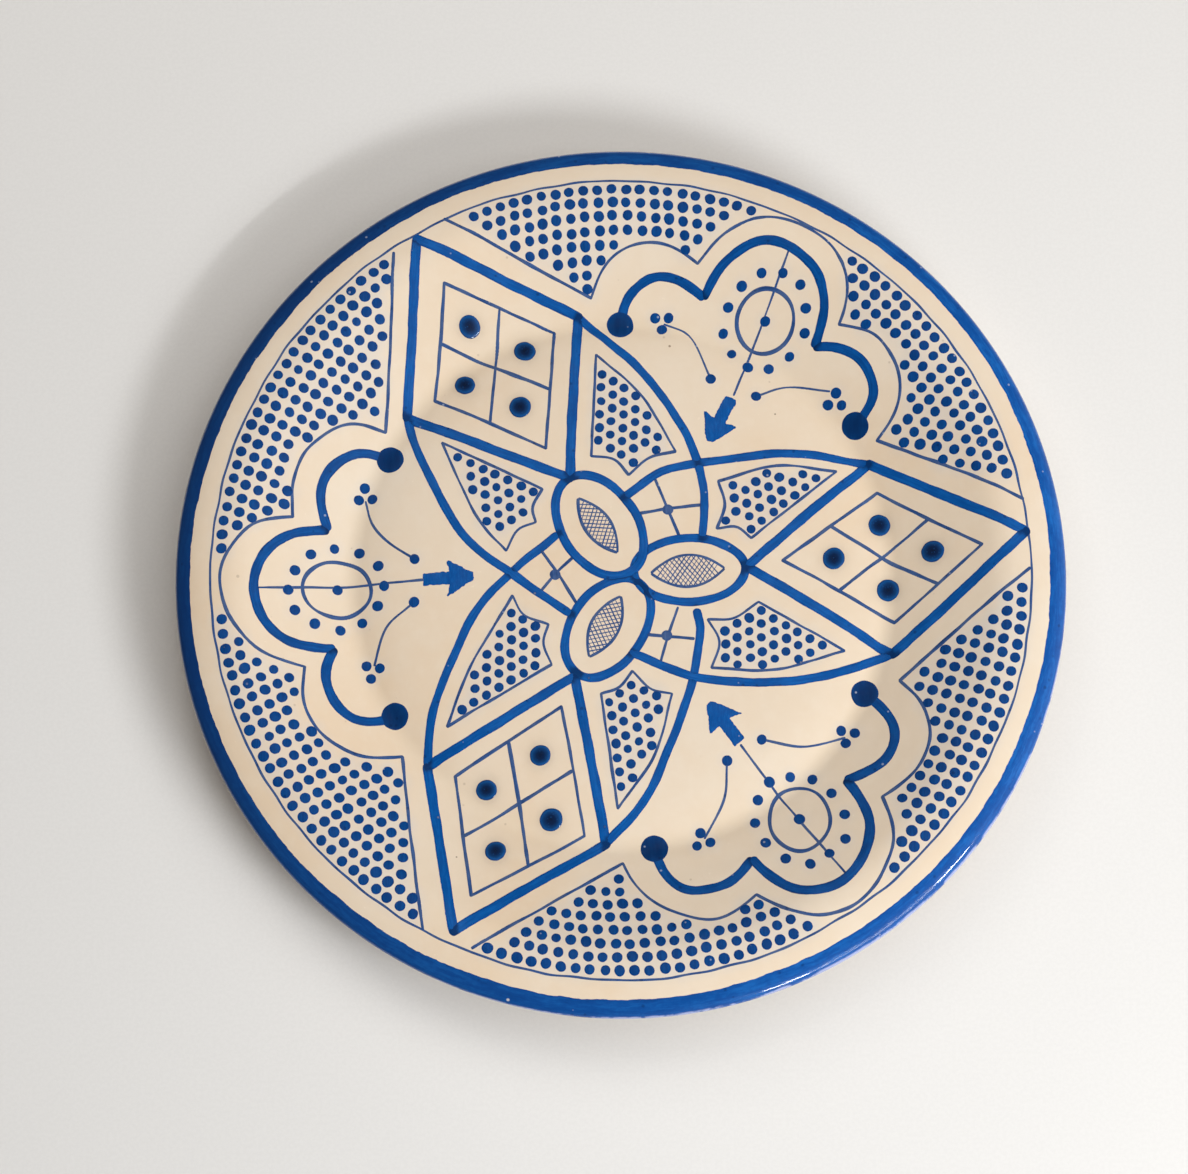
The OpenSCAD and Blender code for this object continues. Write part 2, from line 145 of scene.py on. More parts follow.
def evenly(p, step, closed=False):
    p = np.asarray(p, float)
    if closed:
        p = np.vstack([p, p[:1]])
    d = np.r_[0, np.cumsum(np.hypot(*np.diff(p, axis=0).T))]
    n = max(3, int(round(d[-1] / step)))
    s = np.linspace(0, d[-1], n + 1)
    q = np.c_[np.interp(s, d, p[:, 0]), np.interp(s, d, p[:, 1])]
    return (q[:-1], s[:-1], d[-1]) if closed else (q, s, d[-1])


def normals2(q, closed=False):
    t = (np.roll(q, -1, 0) - np.roll(q, 1, 0)) if closed else np.gradient(q, axis=0)
    t = t / np.maximum(1e-9, np.hypot(t[:, 0], t[:, 1]))[:, None]
    return np.c_[-t[:, 1], t[:, 0]]


class Soup:
    """vertices, faces and per-vertex numbers that end up as one mesh"""

    def __init__(self):
        self.v, self.f, self.a, self.n = [], [], {}, 0

    def add(self, verts, faces, **attrs):
        verts = np.asarray(verts, float).reshape(-1, 3)
        self.v.append(verts)
        self.f += [tuple(int(i) + self.n for i in f) for f in faces]
        for k in set(self.a) | set(attrs):
            cur = self.a.setdefault(k, [np.zeros(self.n)] if self.n else [])
            cur.append(np.broadcast_to(np.asarray(attrs.get(k, 0.0), float), (len(verts),)).copy())
        self.n += len(verts)

    def make(self, name, mat, node, sharp=42):
        me = bpy.data.meshes.new(name)
        v = np.vstack(self.v) / 1000.0
        me.vertices.add(len(v))
        me.vertices.foreach_set("co", v.astype(np.float32).ravel())
        lens = np.array([len(f) for f in self.f], np.int32)
        flat = np.fromiter((i for f in self.f for i in f), np.int32, int(lens.sum()))
        me.loops.add(len(flat))
        me.loops.foreach_set("vertex_index", flat)
        me.polygons.add(len(lens))
        me.polygons.foreach_set("loop_start", np.r_[0, np.cumsum(lens)[:-1]].astype(np.int32))
        me.update(calc_edges=True)
        me.validate()
        for k, parts in self.a.items():
            at = me.attributes.new(k, "FLOAT", "POINT")
            at.data.foreach_set("value", np.concatenate(parts).astype(np.float32))
        me.polygons.foreach_set("use_smooth", np.ones(len(me.polygons), bool))
        me.set_sharp_from_angle(angle=math.radians(sharp))
        me.materials.append(mat)
        ob = bpy.data.objects.new(name, me)
        scene.collection.objects.link(ob)
        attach(ob, "root")
        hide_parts(*([node] if isinstance(node, str) else node))
        return ob


def grid_faces(nr, nc, closed=True, flip=False, base=0):
    """quads between nr rows of nc points; closed joins the last column to the first"""
    i, j = np.meshgrid(np.arange(nr - 1), np.arange(nc if closed else nc - 1), indexing="ij")
    k = (j + 1) % nc
    a, b, c, d = i * nc + j, i * nc + k, (i + 1) * nc + k, (i + 1) * nc + j
    q = np.stack([a, d, c, b] if flip else [a, b, c, d], -1).reshape(-1, 4) + base
    return q.tolist()


def lathe_shell(rows_r, rows_z, n, jitter=None):
    """points of a turned shape from a profile whose rows run once round the section; it makes no faces"""
    t = np.arange(n) * TAU / n
    R = np.asarray(rows_r, float)[:, None] + np.zeros(n)
    Z = np.asarray(rows_z, float)[:, None] + np.zeros(n)
    if jitter:
        R, Z = jitter(R, Z, t)
    V = np.stack([R * np.cos(t), R * np.sin(t), Z], -1)
    return V, t


# ------------------------------------------------------------------ where the dots stand, read from the CAD nodes
def node_islands(name):
    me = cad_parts[name].data
    co = np.zeros(len(me.vertices) * 3, np.float32)
    me.vertices.foreach_get("co", co)
    co = co.reshape(-1, 3) * 1000.0
    key = np.round(co, 3)
    _, inv = np.unique(key, axis=0, return_inverse=True)
    inv = np.asarray(inv).ravel()
    idx = np.zeros(len(me.loops), np.int32)
    me.loops.foreach_get("vertex_index", idx)
    start = np.zeros(len(me.polygons), np.int32)
    me.polygons.foreach_get("loop_start", start)
    tri = inv[np.stack([idx[start], idx[start + 1], idx[start + 2]], 1)]
    lab = np.arange(inv.max() + 1)
    while True:
        m = lab[tri].min(1)
        new = lab.copy()
        for c in range(3):
            np.minimum.at(new, tri[:, c], m)
        new = new[new]
        if (new == lab).all():
            break
        lab = new
    lv = lab[inv]
    out = []
    for l in np.unique(lv):
        p = co[lv == l]
        lo, hi = p.min(0), p.max(0)
        out.append(((lo[0] + hi[0]) / 2, (lo[1] + hi[1]) / 2, (hi[0] - lo[0] + hi[1] - lo[1]) / 4))
    return sorted(out)


# ------------------------------------------------------------------ the drawing, in the plate's own millimetres
DIAMONDS = [
    [(-63, 105), (-13, 84), (-15.5, 31.5), (-66, 51.5)],
    [(122.5, 12), (76.5, 36.5), (38.5, 3.5), (82.5, -23.5)],
    [(-49.5, -109.5), (-58.5, -58), (-14, -30.5), (-4.5, -81.5)]]
GRIDS = [
    [(-54.5, 92), (-20.5, 79), (-23, 41), (-57.5, 57)],
    [(109.5, 8.5), (79, 27.5), (49.5, 5.5), (83.5, -13.5)],
    [(-44.5, -98.5), (-50, -61), (-18, -40), (-11, -79)]]
PETALS = [
    [(-13, 84), (6, 66.5), (19.5, 47), (25.5, 28.5), (25, 12.5)],
    [(-66, 51.5), (-61.5, 38), (-48.5, 14), (-33.5, 1.5), (-15, -11.5)],
    [(76.5, 36.5), (55, 39.5), (36.5, 38), (14, 34), (0.5, 25)],
    [(82.5, -23.5), (61, -30.5), (41, -32.5), (21.5, -30.5), (2.5, -23)],
    [(-58.5, -58), (-56.5, -40), (-45, -12), (-33.5, 1.5), (-19, 14)],
    [(-4.5, -81.5), (8.5, -66), (20.5, -36), (24, -18), (23, -9.5)]]
OVALS = [[(-6.5, 16.5), 17.5, 11.5, 123], [(21, 2.5), 17, 10, 2], [(-4, -15.5), 17, 11, 57]]
LENSES = [[(-7, 16.5), 10.5, 4, 125], [(20.5, 2.2), 11.3, 5, 4], [(-4.8, -15.2), 10.6, 4.3, 63]]
WINDOWS = [
    [(14.5, 21.5), (10.5, 31.5), (18, 13), (4, 20), (25, 23)],
    [(-20, 1), (-25, 9.5), (-13.5, -8), (-14, 7), (-25, -5)],
    [(14, -18), (17.5, -9), (12, -26.5), (6, -17.5), (22.5, -19)]]
PANELS = [
    [[(-55, 43), (-24, 28)], [(-24, 28), (-27, 22.5), (-26, 17.5)], [(-26, 17.5), (-31.5, 15), (-35, 8.5)], [(-35, 8.5), (-44.5, 20), (-55, 43)]],
    [[(-7.5, 71.5), (-9, 38.5)], [(-9, 38.5), (-2, 37.5), (2.5, 32.5)], [(2.5, 32.5), (9, 38), (17, 40)], [(17, 40), (6.5, 58), (-7.5, 71.5)]],
    [[(66.5, 34), (40, 12.5)], [(40, 12.5), (35.5, 16), (29.5, 15.5)], [(29.5, 15.5), (32, 23), (30, 30.5)], [(30, 30.5), (48, 35.5), (66.5, 34)]],
    [[(68, -22.5), (42, -7.5)], [(42, -7.5), (34.5, -12.5), (26.5, -13)], [(26.5, -13), (30, -20), (27.5, -28)], [(27.5, -28), (47, -28.5), (68, -22.5)]],
    [[(-52.5, -46), (-21, -27)], [(-21, -27), (-23.5, -20.5), (-22, -14.5)], [(-22, -14.5), (-29.5, -11.5), (-33, -5.5)], [(-33, -5.5), (-46, -28.5), (-52.5, -46)]],
    [[(-1, -71), (-6, -36)], [(-6, -36), (-0.5, -34), (3.5, -29)], [(3.5, -29), (9, -34.5), (15.5, -36)], [(15.5, -36), (10, -55), (-1, -71)]]]
ARCHES = [
    [[(-71, 38), (-82, 39), (-91, 30), (-89.5, 15)], [(-89.5, 15), (-105, 9.5), (-111, -3.5), (-105, -18), (-87, -22)], [(-87, -22), (-89, -33), (-81.5, -43.5), (-68.5, -42.5)]],
    [[(0, 81.5), (4, 91.5), (13, 95.5), (26, 89)], [(26, 89), (33, 99.5), (46, 105), (59, 97), (63, 86.5), (60, 73)], [(60, 73), (72.5, 69.5), (78, 59), (72.5, 48.5)]],
    [[(74, -35.5), (82, -46), (80.5, -55), (67.5, -62.5)], [(67.5, -62.5), (74, -78), (67, -93), (54, -97), (39, -86.5)], [(39, -86.5), (31, -94.5), (18, -95.5), (10, -83)]]]
SCALLOPS = [
    [[(-72.5, 46.5), (-85, 47.5), (-97.5, 36.5), (-100, 18)], [(-100, 18), (-113.5, 13), (-121, -2.5), (-113, -21), (-95.5, -28.5)], [(-95.5, -28.5), (-94, -43.5), (-82, -54.5), (-66, -55)]],
    [[(-9, 89.5), (-2, 101.5), (10, 105.5), (24, 99)], [(24, 99), (35, 109), (48.5, 112), (65, 103), (70, 90), (67.5, 79)], [(67.5, 79), (80, 73.5), (86, 58), (79, 43.5)]],
    [[(84.5, -32), (92, -43.5), (91, -56), (78, -68.5)], [(78, -68.5), (80.5, -82.5), (71, -100), (56.5, -104.5), (40, -98)], [(40, -98), (26.5, -105.5), (8.5, -99), (0.5, -87.5)]]]
EDGES = [[(-70, 100.5), (-72.5, 46.5)], [(-54.5, 111.5), (-9, 89.5)], [(79, 43.5), (122, 22)], [(123.5, 0.5), (84.5, -32)], [(0.5, -87.5), (-44, -114.5)], [(-66, -55), (-58.5, -109)]]
CIRCLES = [
    [(-86.5, -3.5), 10.3, 8.7, (-110, -5), (-60, -0.5)],
    [(45, 81.5), 8.8, 9.4, (52, 101.5), (35, 58)],
    [(53.5, -74.5), 9, 10, (67, -93), (36, -51.5)]]
ARROWS = [[(-60.5, -0.5), (-44.5, 0.5)], [(34.5, 57.5), (27, 43)], [(36, -51), (26.5, -38.5)]]
SPRIGS = [
    [(-63, 6), (-70.5, 11), (-76, 17), (-78.5, 25)], [(-63, -7.5), (-71.5, -15.5), (-75, -27)],
    [(28, 63.5), (22, 77.5), (13.5, 82)], [(42, 58), (52.5, 61.5), (65, 59.5)],
    [(42.5, -50), (55, -52), (68, -49)], [(32, -56.5), (31, -68), (25, -80)]]
BOLD, FINE, DOT, BALL = 2.9, 1.02, 1.65, 4.2


def mid(a, b):
    return ((a[0] + b[0]) / 2, (a[1] + b[1]) / 2)


def ellipse(c, rx, ry, deg, n=96):
    t = np.arange(n) * TAU / n
    a = math.radians(deg)
    return np.c_[c[0] + rx * np.cos(t) * math.cos(a) - ry * np.sin(t) * math.sin(a),
                 c[1] + rx * np.cos(t) * math.sin(a) + ry * np.sin(t) * math.cos(a)]


# ------------------------------------------------------------------ brush strokes
BOLD_PATHS = []   # centre lines of bold strokes already laid, for the darker overlaps
ORDER = [0]


def far_from(pts, line):
    """distance of each point to a polyline"""
    a, b = line[:-1], line[1:]
    best = np.full(len(pts), 1e9)
    d = b - a
    l = np.maximum(1e-9, (d ** 2).sum(1))
    for i in range(len(a)):
        t = np.clip(((pts - a[i]) @ d[i]) / l[i], 0, 1)
        best = np.minimum(best, np.hypot(*(pts - a[i] - t[:, None] * d[i]).T))
    return best


def stroke(soup, path, width, seed, closed=False, crown=0.06, step=1.0, cols=9, wob=0.06, vary=0.035, run=0.0, lo=0.0, bow=0.0, taper=0.0):
    """one brushed line as a closed ribbon that follows the glaze; run lets it go on past its ends"""
    rs = np.random.default_rng(seed)
    p = np.asarray(path, float)
    if run:
        a = (p[0] - p[1]) / np.hypot(*(p[0] - p[1]))
        b = (p[-1] - p[-2]) / np.hypot(*(p[-1] - p[-2]))
        p = np.vstack([p[:1] + a * run, p[1:-1], p[-1:] + b * run]) if len(p) > 2 else np.vstack([p[0] + a * run, p[1] + b * run])
    q, s, L = evenly(p, step, closed)
    if not closed:
        h = width / 2
        ends = np.array([0, 0.04, 0.14, 0.32, 0.6]) * h
        inner = s[(s > h * 0.95) & (s < L - h * 0.95)]
        s2 = np.r_[ends, inner, L - ends[::-1]]
        q = np.c_[np.interp(s2, s, q[:, 0]), np.interp(s2, s, q[:, 1])]
        s = s2
    nn = normals2(q, closed)
    per = L if closed else None
    damp = 1.0 if closed else np.clip(np.minimum(s, L - s) / 6.0, 0, 1)
    shift = wob * wave1(s, (13, 30), rs, per) * damp
    if bow and not closed:
        shift = shift + bow * np.sin(PI * s / L) * rs.uniform(-1, 1)
    q = q + nn * np.asarray(shift)[:, None]
    nn = normals2(q, closed)
    hw = width / 2 * (1.03 + vary * wave1(s, (8, 18, 40), rs, per) * 0.9)
    grain = 0.016 * width * wave1(s, (1.8, 3.2), rs, per) * 0.5
    hwl, hwr = hw + grain, hw - 0.016 * width * wave1(s, (1.9, 3.6), rs, per) * 0.5
    if not closed:
        e = np.minimum(s, L - s)
        cap = np.sqrt(np.clip(1 - (1 - np.clip(e / (width / 2), 0, 1)) ** 2, 0, 1))
        cap = np.maximum(cap, 0.02)
        if taper:
            cap = cap * (1 - taper * np.clip(1 - e / (width * 3), 0, 1))
        hwl, hwr = hwl * cap, hwr * cap
    t = np.sin(np.linspace(-1, 1, cols) * PI / 2)
    n = len(q)
    off = np.where(t[None, :] < 0, t[None, :] * hwr[:, None], t[None, :] * hwl[:, None])
    X = q[:, None, 0] + nn[:, None, 0] * off
    Y = q[:, None, 1] + nn[:, None, 1] * off
    rr = np.hypot(X, Y)
    over = np.where(rr > 134.0, 134.0 / rr, 1.0)
    X, Y = X * over, Y * over
    base = height(X, Y)
    lift = lo + 0.006 * (ORDER[0] % 5)
    ORDER[0] += 1
    prof = -0.03 + (crown + 0.03) * np.sqrt(np.clip(1 - t ** 2, 0, 1)) ** 0.8
    if not closed:
        fade = np.clip(np.minimum(s, L - s) / (width * 0.5), 0, 1)
        prof = -0.03 + (prof[None, :] + 0.03) * np.sqrt(np.clip(1 - (1 - fade[:, None]) ** 2, 0, 1))
    else:
        prof = np.broadcast_to(prof[None, :], (n, cols))
    Z = base + prof + lift
    mx, my = q[:, 0], q[:, 1]
    mo = np.hypot(mx, my)
    mo = np.where(mo > 134.0, 134.0 / mo, 1.0)
    bottom = np.c_[mx * mo, my * mo, height(mx * mo, my * mo) - 0.16]
    V = np.concatenate([np.stack([X, Y, Z], -1), bottom[:, None, :]], 1)
    nc = cols + 1
    faces = []
    rows = n if closed else n - 1
    for i in range(rows):
        a, b = i * nc, ((i + 1) % n) * nc
        for j in range(nc):
            k = (j + 1) % nc
            faces.append((a + j, b + j, b + k, a + k))
    if not closed:
        faces.append(tuple(range(nc)))
        faces.append(tuple((n - 1) * nc + j for j in range(nc - 1, -1, -1)))
    flat = V.reshape(-1, 3)
    acr = np.broadcast_to(np.r_[t, 0.0][None, :], (n, nc)).ravel()
    edge = np.abs(acr)
    alo = np.repeat(s, nc)
    crossing = np.zeros(len(flat))
    for line, w2, who in BOLD_PATHS:
        if who == seed:
            continue
        lo2, hi2 = line.min(0) - 3, line.max(0) + 3
        m = (flat[:, 0] > lo2[0]) & (flat[:, 0] < hi2[0]) & (flat[:, 1] > lo2[1]) & (flat[:, 1] < hi2[1])
        if m.any():
            d = far_from(flat[m][:, :2], line)
            crossing[m] = np.maximum(crossing[m], np.clip((w2 - d) / 0.45 + 0.5, 0, 1))
    pool = np.zeros(len(flat))
    if not closed:
        pool = np.clip(1 - np.repeat(np.minimum(s, L - s), nc) / (width * 1.3), 0, 1) * rs.uniform(0.3, 1.0)
    load = np.repeat(0.5 + 0.5 * np.tanh(wave1(s, (12, 34), rs, per)), nc)
    soup.add(flat, faces, across=acr, along=alo, edge=edge, seed=rs.uniform(0, 9), over=crossing, pool=pool, load=load)
    if width > 2:
        BOLD_PATHS.append((q if not closed else np.vstack([q, q[:1]]), width / 2, seed))


def blob(soup, x, y, r, seed, crown=0.10, sides=20, rings=(1.0, 0.95, 0.8, 0.5, 0.22), ragged=0.022, power=0.6, sink=-0.02, depth=0.0):
    """a round touch of the brush as a low closed dome"""
    rs = np.random.default_rng(seed)
    t = np.arange(sides) * TAU / sides
    e, ea = rs.uniform(0.0, 0.045), rs.uniform(0, TAU)
    shape = r * (1 + e * np.cos(2 * (t - ea)) + ragged * wave1(t * r, (r * 1.6, r * 0.8), rs, TAU * r) * 0.6)
    rows = []
    for k in rings:
        X, Y = x + shape * k * np.cos(t), y + shape * k * np.sin(t)
        rows.append(np.c_[X, Y, height(X, Y) + sink + (crown - sink) * max(0.0, 1 - k * k) ** power])
    X, Y = x + shape * np.cos(t), y + shape * np.sin(t)
    top = [[x, y, float(height(x, y)) + crown]]
    rows.insert(0, np.c_[X * 1.0, Y * 1.0, height(X, Y) - 0.14])
    bot = [[x, y, float(height(x, y)) - 0.16]]
    V = np.vstack(rows + [top, bot])
    m = len(rows)
    faces = grid_faces(m, sides)
    a = m * sides
    for j in range(sides):
        k = (j + 1) % sides
        faces.append(((m - 1) * sides + j, (m - 1) * sides + k, a))
        faces.append((k, j, a + 1))
    edge = np.r_[np.ones(sides), np.repeat(np.array(rings), sides), 0, 1]
    soup.add(V, faces, across=np.r_[np.tile(np.cos(t), m), 0, 0] * edge, along=np.r_[np.tile(np.sin(t), m), 0, 0] * edge * r,
             edge=edge, seed=rs.uniform(0, 9), over=depth * (1 - 0.75 * edge ** 4), pool=0.0, load=rs.uniform(0, 1))


def patch(soup, outline, seed, crown=0.08, grid=0.8):
    """a filled shape of any outline, slightly proud in the middle"""
    rs = np.random.default_rng(seed)
    o, s, L = evenly(outline, 0.5, True)
    nn = normals2(o, True)
    o = o + nn * (0.10 * wave1(s, (1.6, 3.5, 9), rs, L))[:, None]
    lo, hi = o.min(0), o.max(0)
    gx, gy = np.meshgrid(np.arange(lo[0], hi[0], grid), np.arange(lo[1], hi[1], grid))
    g = np.c_[gx.ravel(), gy.ravel()]
    ring = np.vstack([o, o[:1]])
    g = g[far_from(g, ring) > 0.35]
    ins = np.zeros(len(g), bool)
    for i in range(len(o)):
        a, b = o[i], o[(i + 1) % len(o)]
        c = ((a[1] > g[:, 1]) != (b[1] > g[:, 1])) & (g[:, 0] < a[0] + (g[:, 1] - a[1]) * (b[0] - a[0]) / (b[1] - a[1] if b[1] != a[1] else 1e-9))
        ins ^= c
    g = g[ins]
    pts = np.vstack([o, g])
    n = len(o)
    vs, _, fs, *_ = delaunay_2d_cdt([Vector(p) for p in pts], [(i, (i + 1) % n) for i in range(n)], [], 1, 1e-5)
    v = np.array([tuple(p) for p in vs])
    d = far_from(v, ring)
    h = -0.03 + (crown + 0.03) * np.sqrt(np.clip(1 - (1 - np.clip(d / 1.1, 0, 1)) ** 2, 0, 1))
    hz = height(v[:, 0], v[:, 1])
    m = len(v)
    V = np.vstack([np.c_[v, hz + h], np.c_[v, hz - 0.16]])
    faces, count = [], {}
    for f in fs:
        a = sum(v[f[i]][0] * v[f[(i + 1) % 3]][1] - v[f[(i + 1) % 3]][0] * v[f[i]][1] for i in range(3))
        f = tuple(f) if a > 0 else tuple(reversed(f))
        faces.append(f)
        faces.append(tuple(m + i for i in reversed(f)))
        for i in range(3):
            count[(f[i], f[(i + 1) % 3])] = 1
    for (a, b) in list(count):
        if (b, a) not in count:
            faces.append((b, a, a + m, b + m))
    dd = np.r_[d, d]
    soup.add(V, faces, across=np.r_[v[:, 0], v[:, 0]] * 0.7, along=np.r_[v[:, 1], v[:, 1]] * 3.0, edge=np.clip(1 - dd / 1.3, 0, 1), seed=rs.uniform(0, 9), over=0.0, pool=0.15, load=0.6)


# ------------------------------------------------------------------ materials
class Mat:
    def __init__(self, name, **sockets):
        self.m = bpy.data.materials.new(name)
        self.m.use_nodes = True
        self.t = self.m.node_tree
        self.t.nodes.clear()
        out = self.t.nodes.new("ShaderNodeOutputMaterial")
        self.b = self.t.nodes.new("ShaderNodeBsdfPrincipled")
        self.t.links.new(self.b.outputs[0], out.inputs[0])
        for k, v in sockets.items():
            self.b.inputs[k.replace("_", " ")].default_value = v

    def put(self, sock, value):
        if isinstance(value, bpy.types.NodeSocket):
            self.t.links.new(value, sock)
        else:
            sock.default_value = value

    def coord(self):
        return self.t.nodes.new("ShaderNodeTexCoord").outputs["Object"]

    def attr(self, name):
        n = self.t.nodes.new("ShaderNodeAttribute")
        n.attribute_name = name
        return n.outputs["Fac"]

    def math(self, op, a, b=0.0, c=None, clamp=False):
        n = self.t.nodes.new("ShaderNodeMath")
        n.operation = op
        n.use_clamp = clamp
        self.put(n.inputs[0], a)
        self.put(n.inputs[1], b)
        if c is not None:
            self.put(n.inputs[2], c)
        return n.outputs[0]

    def vec(self, x, y, z):
        n = self.t.nodes.new("ShaderNodeCombineXYZ")
        for i, v in enumerate((x, y, z)):
            self.put(n.inputs[i], v)
        return n.outputs[0]

    def noise(self, scale, detail=3.0, rough=0.55, vec=None, dist=0.0):
        n = self.t.nodes.new("ShaderNodeTexNoise")
        n.inputs["Scale"].default_value = scale
        n.inputs["Detail"].default_value = detail
        n.inputs["Roughness"].default_value = rough
        n.inputs["Distortion"].default_value = dist
        self.put(n.inputs["Vector"], vec if vec is not None else self.coord())
        return n.outputs["Fac"]

    def cells(self, scale, vec=None, rand=1.0, feature="F1"):
        n = self.t.nodes.new("ShaderNodeTexVoronoi")
        n.feature = feature
        n.inputs["Scale"].default_value = scale
        n.inputs["Randomness"].default_value = rand
        self.put(n.inputs["Vector"], vec if vec is not None else self.coord())
        return n.outputs["Distance"], n.outputs["Color"]

    def ramp(self, fac, stops):
        n = self.t.nodes.new("ShaderNodeValToRGB")
        e = n.color_ramp.elements
        while len(e) > 1:
            e.remove(e[0])
        e[0].position, c = stops[0][0], stops[0][1]
        e[0].color = c if len(c) == 4 else (*c, 1)
        for p, c in stops[1:]:
            x = e.new(p)
            x.color = (*c, 1)
        self.put(n.inputs[0], fac)
        return n.outputs[0]

    def between(self, fac, lo, hi, a=0.0, b=1.0):
        n = self.t.nodes.new("ShaderNodeMapRange")
        n.interpolation_type = "SMOOTHSTEP"
        self.put(n.inputs[0], fac)
        for i, v in enumerate((lo, hi, a, b)):
            n.inputs[1 + i].default_value = v
        return n.outputs[0]

    def mix(self, fac, a, b, kind="MIX"):
        n = self.t.nodes.new("ShaderNodeMix")
        n.data_type = "RGBA"
        n.blend_type = kind
        self.put(n.inputs[0], fac)
        self.put(n.inputs[6], a if isinstance(a, bpy.types.NodeSocket) else (*a, 1))
        self.put(n.inputs[7], b if isinstance(b, bpy.types.NodeSocket) else (*b, 1))
        return n.outputs[2]

    def bump(self, h, strength, dist, under=None):
        n = self.t.nodes.new("ShaderNodeBump")
        n.inputs["Strength"].default_value = strength
        n.inputs["Distance"].default_value = dist
        self.put(n.inputs["Height"], h)
        if under is not None:
            self.put(n.inputs["Normal"], under)
        return n.outputs[0]


def glaze_material(name, bleed_and_bead_shade=True):
    m = Mat(name, IOR=1.5, Coat_Weight=0.35, Coat_Roughness=0.04)
    cream, warm, cool, deep = (0.800, 0.665, 0.515), (0.790, 0.625, 0.455), (0.815, 0.700, 0.565), (0.66, 0.50, 0.34)
    big = m.between(m.noise(11, 3, 0.5, dist=0.4), 0.36, 0.66)
    col = m.mix(big, warm, cool)
    col = m.mix(m.between(m.noise(34, 4, 0.6), 0.35, 0.70), col, cream)
    # cloudy mottling in the tin glaze, a few millimetres across
    mott = m.noise(230, 4, 0.62)
    col = m.mix(m.between(mott, 0.40, 0.78, 0.0, 0.20), col, (0.86, 0.76, 0.64))
    col = m.mix(m.between(m.noise(420, 3, 0.6), 0.55, 0.80, 0.0, 0.14), col, (0.76, 0.60, 0.45))
    # glaze that gathered in the groove is a shade warmer and thicker
    col = m.mix(m.math("MULTIPLY", m.attr("pool"), 0.30, clamp=True), col, (0.74, 0.60, 0.43))
    if bleed_and_bead_shade:
        # cobalt that bled into the glaze round the paint
        col = m.mix(m.math("MULTIPLY", m.attr("bleed"), m.between(m.noise(150, 3, 0.6), 0.25, 0.75, 0.55, 1.0), clamp=True), col, (0.62, 0.62, 0.63))
        # painted shade: a dark brown ring on the glaze round each raised bead, standing in for the shadow the bead
        # casts
        col = m.mix(m.math("MULTIPLY", m.attr("halo"), 0.55, clamp=True), col, (0.30, 0.25, 0.21))
    # iron specks from the clay, sparse, and a few finer ones
    d, c = m.cells(62)
    pick = m.t.nodes.new("ShaderNodeSeparateColor")
    m.put(pick.inputs[0], c)
    keep = m.between(pick.outputs[0], 0.80, 0.86)
    size = m.math("MULTIPLY", pick.outputs[1], 0.022)
    spot = m.math("MULTIPLY", m.between(m.math("SUBTRACT", d, size), 0.010, 0.020, 1.0, 0.0), keep)
    col = m.mix(m.math("MULTIPLY", spot, 0.75), col, (0.20, 0.12, 0.07))
    d2, c2 = m.cells(210)
    pick2 = m.t.nodes.new("ShaderNodeSeparateColor")
    m.put(pick2.inputs[0], c2)
    spot2 = m.math("MULTIPLY", m.between(d2, 0.05, 0.11, 1.0, 0.0), m.between(pick2.outputs[2], 0.90, 0.93))
    col = m.mix(m.math("MULTIPLY", spot2, 0.35), col, (0.36, 0.25, 0.17))
    m.put(m.b.inputs["Base Color"], col)
    rough = m.math("ADD", m.between(m.noise(60, 4, 0.6), 0.3, 0.8, 0.11, 0.24), m.math("MULTIPLY", m.between(m.noise(900, 2, 0.5), 0.6, 0.8), 0.10))
    m.put(m.b.inputs["Roughness"], rough)
    pin = m.between(d2, 0.02, 0.09, 0.0, 1.0)
    pit = m.math("MAXIMUM", pin, m.between(pick2.outputs[0], 0.86, 0.88, 1.0, 0.0))
    h1 = m.bump(m.noise(95, 3, 0.5), 0.30, 0.0004)
    h2 = m.bump(m.noise(1500, 2, 0.5), 0.05, 0.00006, h1)
    m.put(m.b.inputs["Normal"], m.bump(pit, 0.35, 0.00008, h2))
    return m.m


